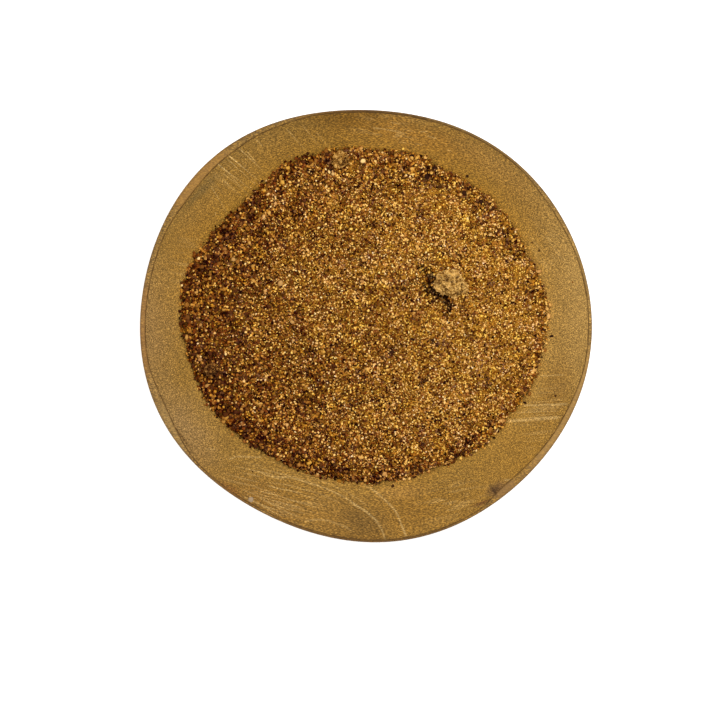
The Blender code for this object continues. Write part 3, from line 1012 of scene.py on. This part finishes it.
def make_core():
    """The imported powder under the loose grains."""
    edge = [core_place(1.0, angle) for angle in all_round(CORE_EDGE_POINTS)]
    inside = spiral_places(CORE_POINTS, 0.985)
    under = spiral_places(CORE_UNDER_POINTS, 0.95)
    places = [(x, y, core_height(x, y)) for x, y in edge + inside]
    faces = skin(edge, inside)
    low = len(places)
    places += [(x, y, hollow_height(x, y) + CORE_GAP_BELOW) for x, y in edge + under]
    faces += [tuple(low + corner for corner in reversed(face)) for face in skin(edge, under)]
    for step in range(CORE_EDGE_POINTS):
        ahead = (step + 1) % CORE_EDGE_POINTS
        faces += [(low + step, low + ahead, ahead), (low + step, ahead, step)]
    return mesh_from_arrays("powder_core", np.array(places), np.array(faces))


core = make_core()
print("core has", len(core.data.vertices), "points")


# %% Finish of the core
def make_core_finish():
    """Packed flour between the grains: red-brown to golden cells, paler where the powder is. The dark cells
    are partly painted shade that deepens the gaps between the grains.
    """
    made, surface = new_material("packed_powder", 0.0)
    place = millimetres()
    cells = add("TexVoronoi", {"Vector": place, "Scale": 2.8}, "Color")
    pick = add("SeparateColor", {0: cells}) + attribute("tone")
    # partly painted shade: the dark red-brown cells darken the gaps between the grains, where the core shows
    colour = blend(spread(pick, 0.2, 0.95), tint(58, 14, 2), tint(184, 128, 40))
    speckle = put(SPECKLE, Place=place, Size=0.12, Clear=0.4)
    feed(surface["Base Color"], blend(speckle * 0.25, colour, tint(196, 142, 54)))
    feed(surface["Roughness"], speckle * 0.12 + 0.85)
    bump(surface, speckle * 0.5 - add("TexVoronoi", {"Vector": place, "Scale": 2.6}, "Distance"), 0.12)
    return made


CORE_FINISH = make_core_finish()
print("finish:", CORE_FINISH.name)

# %% [markdown]
# ## How coarse the powder is
# Shaking sorts a powder: coarse dark bits gather along the edge, most of all at the
# left, and the finest flour stays in the middle and at the right. One number says how
# coarse a place is, and it steers which grains fall there.

# %% Coarseness
COARSE_SIDE = math.radians(181.0)   # the side where the coarse bits gather
PATCH_LENGTH = 4.2 * MM


def coarseness(x, y):
    """How coarse the powder is at a place: 0 for flour, 1 for coarse dark bits."""
    share, angle = powder_share(x, y)
    side = 0.5 + 0.5 * math.cos(angle - COARSE_SIDE)
    outer = smooth_step(share, 0.3, 1.0) * side ** 1.1
    border = (0.56 - 0.36 * side) * smooth_step(share, 0.88, 0.99)
    patches = 0.32 * uneven(x, y, 0.01, PATCH_LENGTH) + 0.16 * uneven(x, y, 0.02, PATCH_LENGTH * 0.35)
    return min(max(0.08 + 0.76 * outer + border + patches, 0.0), 1.0)


print("coarseness at the left and at the right:",
      [round(coarseness(*from_picture(column, 320.0)), 2) for column in (205.0, 500.0)])

# %% Dark and light spots
# Column and row in the picture, radius in mm. The faint dark ones are small.
DARK_SPOTS = (
    (253, 265, 1.3), (224, 235, 1.5), (259, 235, 1.2), (246, 209, 1.6), (204, 270, 1.4), (217, 374, 1.8),
    (213, 390, 1.3), (220, 407, 1.2), (211, 355, 1.2), (192, 346, 0.6), (241, 431, 1.6), (263, 443, 1.5),
    (297, 463, 1.4), (330, 471, 1.5), (350, 474, 1.3), (377, 475, 1.3), (329, 162, 1.3), (342, 151, 0.9),
    (404, 170, 1.2), (430, 176, 1.7), (441, 181, 1.2), (481, 206, 1.7), (467, 192, 1.2), (511, 244, 1.3),
    (521, 252, 1.2), (532, 291, 1.3), (398, 186, 0.8), (410, 322, 0.8), (371, 307, 0.7), (391, 351, 0.9),
    (492, 282, 0.6), (457, 451, 1.3), (420, 468, 1.4), (470, 442, 1.1), (491, 426, 1.1), (424, 381, 0.8),
    (310, 352, 1), (307, 373, 1.1), (318, 384, 1.1), (308, 398, 1.2), (321, 405, 0.9), (360, 376, 1),
    (354, 401, 1), (475, 374, 1), (487, 383, 1), (505, 232, 0.9), (296, 212, 0.9), (312, 158, 0.8),
    (360, 259, 0.8), (312, 238, 0.7), (268, 281, 0.8), (215, 259, 0.8), (299, 314, 0.9), (224, 315, 0.8),
    (240, 341, 0.8), (338, 346, 0.7), (240, 407, 0.8), (402, 330, 0.7), (412, 339, 0.6), (432, 340, 0.6),
    (464, 414, 0.7), (440, 422, 0.6), (403, 288, 0.8), (373, 225, 0.7), (420, 214, 0.8), (465, 251, 0.6),
    (392, 352, 0.8),
)
# partly painted shadow: these dark spots also stand in for the shadow that the lump casts to its lower left
SHADE_SPOTS = (                     # the dark bits against the lump's lower left side
    (432, 276, 0.6), (431, 284, 1), (434, 292, 0.9), (441, 296, 0.8), (447, 300, 1.1), (450, 307, 1),
    (469, 291, 0.5),
)
LIGHT_SPOTS = (                     # golden flour that lies together
    (280, 282, 1.3), (233, 259, 1.2), (424, 201, 2.2), (256, 338, 1.6), (326, 334, 1.6), (435, 323, 1.8),
    (422, 302, 1.3), (455, 396, 2.4), (491, 317, 2.2), (409, 261, 2.4), (498, 259, 1.8), (463, 213, 1.8),
    (379, 210, 2), (309, 287, 1.6), (422, 405, 2), (386, 257, 1.8), (336, 281, 1.5), (456, 235, 1.8),
    (480, 232, 1.3), (404, 253, 1.4),
)


def in_spots(spots, x, y):
    """1 in the middle of a round spot, 0 outside all of them."""
    most = 0.0
    for column, row, radius in spots:
        far = (Vector((x, y)) - from_picture(column, row)).length / (radius * MM)
        most = max(most, math.exp(-far * far))
    return most


def dark_spots(x, y):
    return in_spots(DARK_SPOTS + SHADE_SPOTS, x, y)


print(len(DARK_SPOTS), "dark spots and", len(LIGHT_SPOTS), "light ones")

# %% Paleness
PALE_SIDE = math.radians(12.0)      # the side to which the palest flour has drifted


def paleness(x, y):
    """How pale the powder is at a place, from -1 at the lower left to 1 at the upper right."""
    offset = Vector((x, y)) - POWDER_MIDDLE
    along = (offset.x * math.cos(PALE_SIDE) + offset.y * math.sin(PALE_SIDE)) / POWDER_RADIUS
    drift = 0.45 * uneven(x, y, 0.05, 2.4 * MM)
    drift -= (0.2 + 0.16 * along) * smooth_step(powder_share(x, y)[0], 0.85, 1.0)
    return along + drift + 0.55 * in_spots(LIGHT_SPOTS, x, y) - 0.5 * dark_spots(x, y)


core_tones = [0.28 * paleness(vert.co.x, vert.co.y) for vert in core.data.vertices]
mark(core, "tone", core_tones)
hand_over(core, CORE_FINISH)
print("tone of the core:", round(min(core_tones), 2), "to", round(max(core_tones), 2))

# %% [markdown]
# ## Grains
# A ground nut breaks into irregular bits with a few blunt faces. Each grain starts from
# an octahedron or an icosahedron, cut once more for the largest, with its own size,
# jitter at each corner, turn and tone. All grains of a kind are one mesh.


# %% One grain's shape
LAYOUT_TRIES = 400


def base_solid(rounds):
    """Corners and triangles of the solid that a grain starts from: 0 is an octahedron."""
    shape = bmesh.new()
    if rounds == 0:
        axes = ((1, 0, 0), (-1, 0, 0), (0, 1, 0), (0, -1, 0), (0, 0, 1), (0, 0, -1))
        corners = [shape.verts.new(axis) for axis in axes]
        for x, y, z in ((x, y, z) for x in (0, 1) for y in (2, 3) for z in (4, 5)):
            turn = (x, y, z) if (x + y + z) % 2 == 0 else (y, x, z)
            shape.faces.new([corners[corner] for corner in turn])
    else:
        bmesh.ops.create_icosphere(shape, subdivisions=rounds, radius=1.0)
    bmesh.ops.recalc_face_normals(shape, faces=shape.faces)
    shape.verts.ensure_lookup_table()
    corners = np.array([vert.co[:] for vert in shape.verts])
    faces = np.array([[vert.index for vert in face.verts] for face in shape.faces])
    shape.free()
    return corners, faces


def map_layout(corners, faces, draw):
    """Where a grain's corners lie in its square of the map, so that no face is thin."""
    best = None
    widest = 0.0
    for _ in range(LAYOUT_TRIES):
        layout = draw.uniform(0.15, 0.85, (len(corners), 2))
        a, b, c = (layout[faces[:, corner]] for corner in range(3))
        area = np.abs((b[:, 0] - a[:, 0]) * (c[:, 1] - a[:, 1]) - (b[:, 1] - a[:, 1]) * (c[:, 0] - a[:, 0]))
        longest = np.max([np.linalg.norm(p - q, axis=1) for p, q in ((a, b), (b, c), (c, a))], axis=0)
        width = (area / longest).min()
        if width > widest:
            best = layout
            widest = width
    return best


def turns(count, draw, lean):
    """A rotation for each grain: any way round, and tipped by about a lean in radians."""
    around = draw.uniform(0.0, 2.0 * np.pi, count)
    tip = draw.normal(0.0, lean, count)
    roll = draw.normal(0.0, lean, count)
    made = np.tile(np.eye(3), (count, 1, 1))
    for angle, first, second in ((tip, 1, 2), (roll, 0, 2), (around, 0, 1)):
        step = np.tile(np.eye(3), (count, 1, 1))
        step[:, first, first] = step[:, second, second] = np.cos(angle)
        step[:, first, second] = -np.sin(angle)
        step[:, second, first] = np.sin(angle)
        made = step @ made
    return made


print("an icosahedron has", len(base_solid(1)[1]), "faces")


# %% [markdown]
# ### The grains' finish
# Broken nutmeg is matt with a trace of oil. Each grain has one tone, from its own mark,
# between a dark, a middle and a light colour of its kind.


# %% Grain tone
def make_grain_tone():
    """A grain's colour and roughness by its own tone."""
    given, out = new_group(
        "grain_tone", {"Colour": "Color", "Roughness": "Float"},
        Dark=(0.1, 0.05, 0.02, 1.0), Middle=(0.3, 0.15, 0.05, 1.0), Light=(0.5, 0.3, 0.1, 1.0))
    tone = attribute("tone")
    colour = blend(spread(tone, 0.0, 0.5), given["Dark"], given["Middle"])
    colour = blend(spread(tone, 0.5, 1.0), colour, given["Light"])
    cast = add("CombineColor", {0: 1.0, 1: 1.0, 2: attribute("cast")})
    feed(out["Colour"], blend(1.0, colour, cast, "MULTIPLY"))
    feed(out["Roughness"], tone * -0.15 + 0.9)
    return bench["tree"]


GRAIN_TONE = make_grain_tone()


def make_grain_finish(name, colours, gloss):
    """Broken nutmeg in three colours as on a screen: dark, middle and light."""
    made, surface = new_material(name, gloss)
    dark, middle, light = (tint(*colour) for colour in colours)
    colour = put(GRAIN_TONE, Dark=dark, Middle=middle, Light=light)
    feed(surface["Base Color"], colour)
    feed(surface["Roughness"], colour.beside("Roughness"))
    return made


print("group:", GRAIN_TONE.name)


# %% Many grains as one mesh
def add_grains(name, centres, sizes, tones, rounds, seed, colours, gloss=0.05, jitter=0.22, lean=0.7,
               casts=1.0, **stands_for):
    """A piece of many grains. Where they have at most 12 corners, each gets a square of its own on the map
    for its one tone.
    """
    draw = np.random.default_rng(seed)
    corners, faces = base_solid(rounds)
    count = len(centres)
    shapes = corners[None] * (1.0 + draw.uniform(-jitter, jitter, (count, len(corners), 1)))
    shapes = shapes * np.asarray(sizes)[:, None, :] / 2.0
    shapes = np.einsum("nij,nvj->nvi", turns(count, draw, lean), shapes) + np.asarray(centres)[:, None, :]
    grain_faces = (np.arange(count)[:, None, None] * len(corners) + faces[None]).reshape(-1, 3)
    made = mesh_from_arrays(name, shapes.reshape(-1, 3), grain_faces)
    mark(made, "tone", np.repeat(tones, len(corners)))
    mark(made, "cast", np.repeat(casts * np.ones(count), len(corners)))
    if len(corners) <= 12 and count > 1:
        across = math.ceil(math.sqrt(count))
        cell = np.stack([np.arange(count) % across, np.arange(count) // across], 1)
        spots = (cell[:, None, :] + map_layout(corners, faces, draw)[None]) / across
        spots = spots.reshape(-1, 2)[grain_faces.ravel()]
        made.data.uv_layers.new(name="OFBake", do_init=False).uv.foreach_set(
            "vector", spots.astype(np.float32).ravel())
    hand_over(made, make_grain_finish(name, colours, gloss), **stands_for)


def by_length(long, wide, high):
    """Three sides of each grain: its length, and shares of it."""
    return np.stack([long, long * wide, long * high], 1)


print("corners of the two smallest solids:", [len(base_solid(rounds)[0]) for rounds in (0, 1)])

# %% Scatter
STRAY = 0.5 * MM                    # how far single grains lie outside the edge
THIN = 0.45 * MM                    # over this width inside the edge they grow fewer
OFF_WALL = 0.05 * MM                # grains lie at least this far, and a share of their height,
HALF_SUNK = 0.42                    # over the wall


def out_from_middle(radius, angle):
    """A place in plan, at a distance and an angle from the powder's middle."""
    return POWDER_MIDDLE.x + radius * math.cos(angle), POWDER_MIDDLE.y + radius * math.sin(angle)


def scatter(name, count, draw):
    """Places on the powder, more where this kind of grain stays, fewer at the powder's edge."""
    places = []
    while len(places) < count:
        angle = draw.uniform(-math.pi, math.pi)
        edge = spill_radius(angle)
        radius = (edge + STRAY) * math.sqrt(draw.random())
        share = (edge - radius + STRAY) / (THIN + STRAY)
        if draw.random() > min(share, 1.0) ** 2:
            continue
        x, y = out_from_middle(radius, angle)
        coarse = coarseness(x, y)
        if draw.random() < stays(name, coarse, x, y):
            places.append((x, y, coarse))
    return np.array(places)


def rest_on_powder(places, sizes, lift, draw):
    """Centres of grains that lie in and on the powder, and never sink into the wall."""
    centres = np.empty((len(places), 3))
    for index, (x, y, coarse) in enumerate(places):
        level = surface_height(x, y) + draw.uniform(*lift) * MM
        low = hollow_height(x, y) + HALF_SUNK * sizes[index, 2] + OFF_WALL
        centres[index] = (x, y, max(level, low))
    return centres


print("grains stray by up to", round(1000 * STRAY, 2), "mm")

# %% Kinds of grain
# Name: count, solid, sizes in mm, height over the surface in mm, gloss, colours dark to light.
KINDS = {
    "flour_grains": (24500, 0, (0.26, 0.46), (-0.14, 0.12), 0.06, (
        (120, 63, 14), (197, 135, 46), (248, 198, 104))),
    "bran_grains": (14000, 0, (0.22, 0.44), (-0.14, 0.16), 0.0, ((40, 10, 4), (92, 43, 14), (144, 89, 36))),
    "tan_grains": (7700, 1, (0.34, 0.62), (-0.14, 0.22), 0.06, (
        (110, 56, 13), (191, 129, 45), (244, 195, 104))),
    "brown_grains": (7700, 1, (0.3, 0.62), (-0.15, 0.18), 0.0, ((52, 14, 6), (116, 57, 17), (174, 114, 46))),
    "shell_grains": (5600, 1, (0.3, 0.64), (-0.15, 0.18), 0.0, ((32, 8, 6), (78, 43, 24), (128, 86, 50))),
    "pale_grains": (900, 1, (0.28, 0.5), (0.0, 0.22), 0.06, (
        (206, 158, 90), (230, 186, 112), (246, 214, 146))),
    "coarse_grains": (620, 2, (0.5, 0.86), (-0.04, 0.24), 0.06, (
        (76, 37, 13), (150, 97, 38), (212, 160, 80))),
}
# How readily each kind stays at a place: where the powder is fine, what coarseness adds and its power,
# what share dark spots take away, and what dark patches and dark spots add.
WEIGHTS = {
    "flour_grains": (1.0, -0.75, 1.0, 0.65, 0.0, 0.0),
    "bran_grains": (0.3, 0.1, 1.0, 0.0, 0.15, 0.4),
    "tan_grains": (0.5, 0.2, 1.0, 0.55, 0.0, 0.0),
    "brown_grains": (0.35, 0.55, 1.0, 0.0, 0.0, 0.0),
    "shell_grains": (0.07, 0.2, 1.3, 0.0, 0.14, 0.65),
    "pale_grains": (0.9, -0.5, 1.0, 0.7, 0.0, 0.0),
    "coarse_grains": (0.03, 1.0, 1.5, 0.0, 0.0, 0.0),
}
DARK_PATCH_LENGTH = 2.1 * MM
CAST_LENGTH = 1.6 * MM              # over this length the nutmeg is more golden here, greyer there


def stays(name, coarse, x, y):
    """How readily a kind of grain stays at a place, from 0 to 1."""
    fine, rise, power, lost, in_patch, in_spot = WEIGHTS[name]
    spots = dark_spots(x, y) if lost or in_spot else 0.0
    patches = smooth_step(uneven(x, y, 0.03, DARK_PATCH_LENGTH), 0.18, 0.5)
    return (fine + rise * coarse ** power) * (1.0 - lost * spots) + in_patch * patches + in_spot * spots


def add_kind(name, seed):
    """All grains of a kind: their places, sizes, tones and casts."""
    count, rounds, (small, large), lift, gloss, colours = KINDS[name]
    draw = np.random.default_rng(seed)
    places = scatter(name, count, draw)
    long = draw.uniform(small, large, count) * MM * (0.92 + 0.3 * places[:, 2])
    sizes = by_length(long, draw.uniform(0.6, 0.95, count), draw.uniform(0.5, 0.8, count))
    centres = rest_on_powder(places, sizes, lift, draw)
    pale = np.array([paleness(x, y) for x, y, coarse in places])
    contrast = 1.55 - 0.5 * places[:, 2]
    tones = np.clip(0.475 + contrast * (draw.random(count) - 0.5) + 0.24 * pale, 0.0, 1.0)
    casts = np.array([1.0 + 0.6 * uneven(x, y, 0.06, CAST_LENGTH) for x, y, coarse in places])
    casts += draw.uniform(-0.06, 0.06, count)
    add_grains(name, centres, sizes, tones, rounds, seed, colours, gloss, casts=casts)


for seed, name in enumerate(KINDS, start=11):
    add_kind(name, seed)

# %% [markdown]
# ## The caked lump
# Damp powder cakes to a firm lump. It has the solid's form, a ball pushed out of round
# by slow noise with a few flat breaks, roughened at the scale of its grains.


# %% Rough ball
def facing(around, rise):
    """A direction by its angle round the ball and over the level, in degrees."""
    around = math.radians(around)
    rise = math.radians(rise)
    return Vector((math.cos(around) * math.cos(rise), math.sin(around) * math.cos(rise), math.sin(rise)))


def rough_ball(name, size, place, turn, rounds, roughness, seed, relief, breaks=()):
    """An uneven ball with relief at the scale of its grains and some flat breaks."""
    cuts = [(facing(around, rise), reach * MM) for around, rise, reach in breaks]
    shape = bmesh.new()
    bmesh.ops.create_icosphere(shape, subdivisions=rounds, radius=0.5)
    ridges = []
    for vert in shape.verts:
        sway = noise.noise(vert.co * 3.1 + Vector((seed * 1.7, seed * 0.9, seed * 2.3)))
        vert.co *= 1.0 + 2.0 * roughness * sway
        vert.co *= size
        for way, reach in cuts:
            vert.co -= way * max(0.0, vert.co.dot(way) - reach) * 0.9
        fine = 0.9 * noise.noise(vert.co / (1.4 * MM)) + 0.8 * noise.noise(vert.co / (0.5 * MM))
        fine += 1.5 * (0.25 - abs(noise.noise(vert.co / (0.75 * MM) + Vector((4.0, seed, 2.0)))))
        ridges.append(fine)
        fine += 0.6 * noise.noise(vert.co / (0.28 * MM))
        vert.co += vert.co.normalized() * relief * fine
    bmesh.ops.rotate(shape, verts=shape.verts, matrix=Matrix.Rotation(turn, 3, "Z"))
    bmesh.ops.translate(shape, verts=shape.verts, vec=place)
    mesh = bpy.data.meshes.new(name)
    shape.to_mesh(mesh)
    shape.free()
    mesh.polygons.foreach_set("use_smooth", np.ones(len(mesh.polygons), bool))
    made = new_object(name, mesh)
    mark(made, "ridge", ridges)
    return made


print("a break that looks along X:", facing(0.0, 0.0)[:])


# %% Finish of the caked powder
def make_cake_finish():
    """Caked powder: tan, with painted light on its ridges and painted shade in the hollows between them,
    with dark specks and pits.
    """
    made, surface = new_material("caked_powder", 0.05)
    place = millimetres()
    mottle = put(SPECKLE, Place=place, Size=0.8, Clear=0.3)
    fine = put(SPECKLE, Place=place, Size=0.16, Clear=0.4)
    aside = vector("ADD", place, (7.0, 3.0, 1.0))
    specks = spread(put(SPECKLE, Place=aside, Size=0.3, Clear=0.3), 0.7, 1.0)
    # painted light and shade: higher points of the relief are paler, the hollows between them darker
    high = mottle * 0.35 + attribute("ridge")
    colour = blend(spread(high, -0.4, 0.75), tint(86, 50, 10), tint(230, 180, 94))
    colour = blend(spread(fine, 0.45, 1.0, 0.0, 0.6), colour, tint(230, 188, 118))
    feed(surface["Base Color"], blend(specks * 0.7, colour, tint(74, 46, 16)))
    feed(surface["Roughness"], fine * -0.12 + 0.95)
    bump(surface, fine + mottle, 0.08)
    return made


CAKED = make_cake_finish()
print("finish:", CAKED.name)

# %% Skin of the lump
LUMP_PLACE = Vector((15.2 * MM, 7.4 * MM))
LUMP_SIZE = Vector((6.5 * MM, 5.1 * MM, 4.3 * MM))
LUMP_TURN = math.radians(-24.0)
LUMP_SINK = 0.4
LUMP_ROUGHNESS = 0.11
LUMP_RELIEF = 0.26 * MM
LUMP_MIDDLE = Vector((*LUMP_PLACE, powder_height(*LUMP_PLACE) + (0.5 - LUMP_SINK) * LUMP_SIZE.z))
# Flat breaks: angle round the lump before its turn, angle over the level, distance from its middle in mm.
LUMP_BREAKS = (
    (62, 10, 2.1), (274, 12, 1.85), (180, 20, 2.75), (-35, 20, 2.1), (20, 10, 2.75), (110, 55, 1.75),
    (330, 65, 1.8),
)
lump = rough_ball(
    "caked_lump_skin", LUMP_SIZE, LUMP_MIDDLE, LUMP_TURN, 6, LUMP_ROUGHNESS, 5, LUMP_RELIEF, LUMP_BREAKS)
hand_over(lump, CAKED, "caked_lump", "caked_nutmeg")

# %% [markdown]
# ### Grains on the lump and the clumps
# Fine grains stick to the caked pieces, half sunk, on points of the skin's own mesh.

# %% Grains stuck on a skin
LUMP_COLOURS = ((74, 38, 2), (184, 134, 60), (244, 200, 124))


def stuck_grains(name, skin_piece, count, sizes_mm, colours, seed, **stands_for):
    """Small grains half sunk in the upper side of a caked piece, with painted light that makes them paler on
    its ridges.
    """
    draw = np.random.default_rng(seed)
    verts = skin_piece.data.vertices
    places = np.array([vert.co[:] for vert in verts])
    upward = np.array([vert.normal.z for vert in verts]) > -0.1
    picked = draw.choice(np.flatnonzero(upward), count, replace=False)
    ridges = np.array([value.value for value in skin_piece.data.attributes["ridge"].data])
    long = draw.uniform(*sizes_mm, count) * MM
    # painted light: grains on the ridges are paler
    tones = np.clip(0.05 + 0.8 * draw.random(count) + 0.45 * ridges[picked], 0.0, 1.0)
    add_grains(name, places[picked], by_length(long, 0.8, 0.65), tones, 0, seed, colours, **stands_for)


stuck_grains("lump_grains", lump, 1400, (0.16, 0.32), LUMP_COLOURS, seed=31,
             node="caked_lump", slot="caked_nutmeg")

# %% Two small clumps in the powder
# Place and size in mm, colours of the grains.
CLUMPS = (
    (Vector((-4.4 * MM, 29.6 * MM)), 3.0 * MM, ((52, 22, 4), (150, 102, 38), (212, 166, 90))),
    (Vector((-27.6 * MM, -7.8 * MM)), 2.5 * MM, ((26, 8, 2), (88, 50, 18), (158, 108, 50))),
)
CLUMP_SHAPE = Vector((1.0, 0.8, 0.7))


def add_clump(index, place, size, colours):
    """A small caked ball that rests in the powder, with its own grains."""
    name = "clump_" + str(index)
    middle = Vector((*place, powder_height(*place) + 0.1 * size))
    clump = rough_ball(name, CLUMP_SHAPE * size, middle, 0.4, 5, 0.2, index, 0.08 * MM)
    hand_over(clump, CAKED)
    stuck_grains(name + "_grains", clump, 600, (0.26, 0.5), colours, seed=41 + index)


print(len(CLUMPS), "small clumps of", [round(1000 * size, 1) for place, size, colours in CLUMPS], "mm")

# %% Dark bits and painted shadow against the lump
# Column and row of the points of a line along the lump's lower left. The fine near-black grains there are
# partly real dark shell and partly painted shadow of the lump.
SHADE_LINE = ((416.0, 264.0), (433.0, 274.0), (429.0, 288.0), (437.0, 292.0), (446.0, 297.0), (450.0, 309.0))
SHADE_COUNT = 230
SHADE_LEGS = (0.12, 0.24, 0.22, 0.2, 0.22)    # what share of them lies along each leg of the line
SHADE_REACH = 0.46 * MM             # how far they lie off the line
SHADE_COLOURS = ((18, 4, 0), (52, 30, 14), (128, 98, 62))


def add_shade_grains():
    """Fine near-black grains along the line, most of them close to it."""
    draw = np.random.default_rng(71)
    corners = [from_picture(*pixel) for pixel in SHADE_LINE]
    centres = []
    for leg in draw.choice(len(corners) - 1, SHADE_COUNT, p=SHADE_LEGS):
        place = corners[leg].lerp(corners[leg + 1], draw.random())
        x = place.x + draw.normal(0.0, SHADE_REACH)
        y = place.y + draw.normal(0.0, SHADE_REACH)
        centres.append((x, y, surface_height(x, y) + draw.uniform(0.02, 0.3) * MM))
    sizes = by_length(draw.uniform(0.26, 0.56, SHADE_COUNT) * MM, 0.8, 0.7)
    add_grains("shade_grains", centres, sizes, draw.random(SHADE_COUNT) ** 2.0, 1, 71, SHADE_COLOURS, 0.0)


add_shade_grains()
for index, clump in enumerate(CLUMPS):
    add_clump(index, *clump)

# %% [markdown]
# ## Crumbs on the wood
# A few bits lie loose on the wall, each placed by its pixel in the picture, and dust
# lies at the upper left where the powder was poured.

# %% Crumbs and single grains
# Column and row in the picture, length and width in mm, tone from 0, dark, to 1, pale.
CRUMBS = (
    (393, 487, 0.75, 0.55, 0.1), (553, 336, 0.95, 0.4, 0), (556, 396, 0.55, 0.45, 0.1),
    (526, 403, 0.8, 0.4, 0), (468, 175, 0.6, 0.45, 0.05), (533, 242, 0.4, 0.3, 0.15),
    (540, 250, 0.45, 0.35, 0.1), (573, 282, 0.35, 0.25, 0.3), (498, 431, 0.9, 0.28, 1),
    (477, 451, 0.5, 0.35, 0.95), (339, 482, 0.6, 0.45, 0.75), (405, 480, 0.5, 0.4, 0.8),
    (261.5, 180, 0.55, 0.45, 0.05), (252, 472, 0.3, 0.25, 0.1), (163, 366, 0.28, 0.2, 0.25),
)
# Single grains in the powder that catch the eye.
NOTABLE_GRAINS = (
    (363, 160, 1, 0.8, 0.95), (329, 171, 0.75, 0.45, 0.9), (333, 173, 0.7, 0.6, 0.75),
    (280, 283, 1.2, 0.95, 0.68), (233, 259, 0.9, 0.8, 0.66), (206, 386, 0.8, 0.6, 0.62),
    (198, 258, 0.65, 0.55, 0.95), (181, 285, 0.5, 0.45, 1), (225, 354, 0.6, 0.45, 0.9),
    (254, 408, 0.65, 0.5, 0.92), (268, 193, 0.5, 0.4, 0.9), (326, 186, 0.55, 0.45, 0.85),
    (289, 275, 0.55, 0.4, 0.85), (468, 218, 0.65, 0.45, 1), (491, 234, 0.7, 0.55, 0.75),
    (441, 295, 0.4, 0.3, 1), (531, 307, 0.6, 0.5, 0.75), (292, 322, 0.95, 0.7, 0.66),
    (412, 155, 0.9, 0.7, 0), (435, 167, 1, 0.8, 0.04), (427, 176, 1.15, 0.9, 0.03),
    (440, 186, 0.8, 0.6, 0.1), (465, 192, 0.95, 0.75, 0.06), (482, 201, 0.9, 0.7, 0.05),
    (494, 207, 0.7, 0.5, 0.1), (515, 236, 0.6, 0.5, 0.12), (376, 176, 0.7, 0.5, 0.1),
    (391, 177, 0.75, 0.55, 0.08), (405, 288, 0.5, 0.4, 0.1), (457, 253, 0.6, 0.4, 0.12),
    (527, 291, 0.7, 0.5, 0.1), (392, 352, 0.85, 0.6, 0.06), (382, 357, 0.6, 0.5, 0.12),
    (412, 339, 0.65, 0.5, 0.06), (433, 340, 0.6, 0.45, 0.06), (425, 381, 0.7, 0.5, 0.1),
    (421, 471, 0.95, 0.65, 0.05), (416, 467, 0.6, 0.5, 0.1), (457, 457, 0.9, 0.6, 0.05),
    (464, 454, 0.6, 0.5, 0.08),
)
CRUMB_COLOURS = ((40, 18, 10), (154, 100, 38), (236, 198, 128))


def add_single_grains(name, grains, seed, lift=0.0):
    """Grains that are placed one by one, some of them lifted on to the others."""
    centres = []
    sizes = []
    for column, row, length, width, tone in grains:
        x, y = from_picture(column, row)
        height = 0.65 * width * MM
        centres.append((x, y, surface_height(x, y) + 0.4 * height + lift))
        sizes.append((length * MM, width * MM, height))
    tones = [grain[-1] for grain in grains]
    add_grains(name, centres, sizes, tones, 2, seed, CRUMB_COLOURS, jitter=0.12, lean=0.2)


add_single_grains("crumbs", CRUMBS, seed=51)
add_single_grains("notable_grains", NOTABLE_GRAINS, seed=53, lift=0.14 * MM)

# %% Chip
CHIP_PIXEL = (250.5, 500.3)         # a grey-white chip on the wood at the lower left
CHIP_SIZE = np.array([[1.25, 0.95, 0.42]]) * MM
CHIP_COLOURS = ((84, 64, 40), (122, 99, 72), (156, 133, 104))


def add_chip():
    """The chip lies just inside the lip, under the level of the rim."""
    x, y = from_picture(*CHIP_PIXEL)
    centre = [(x, y, hollow_height(x, y) + 0.4 * CHIP_SIZE[0, 2])]
    add_grains("pale_chip", centre, CHIP_SIZE, [0.9], 2, 57, CHIP_COLOURS, jitter=0.15, lean=0.1)


add_chip()

# %% Dust
DUST_COUNT = 160
DUST_SIDE = math.radians(140.0)


def add_dust():
    """Dust and stray grit just outside the powder, thickest at the upper left."""
    draw = np.random.default_rng(61)
    centres = []
    sizes = []
    while len(centres) < DUST_COUNT:
        angle = draw.uniform(-math.pi, math.pi)
        if draw.random() > 0.25 + 0.75 * max(math.cos(angle - DUST_SIDE), 0.0):
            continue
        radius = powder_radius(angle) + draw.exponential(0.7) * MM
        x, y = out_from_middle(radius, angle)
        size = draw.uniform(0.1, 0.24) * MM
        centres.append((x, y, hollow_height(x, y) + 0.3 * size))
        sizes.append((size, size * 0.8, size * 0.6))
    add_grains("dust", centres, sizes, draw.uniform(0.1, 0.9, DUST_COUNT), 1, 61, CRUMB_COLOURS)


add_dust()
print("all pieces together:", sum(made_triangles), "triangles")
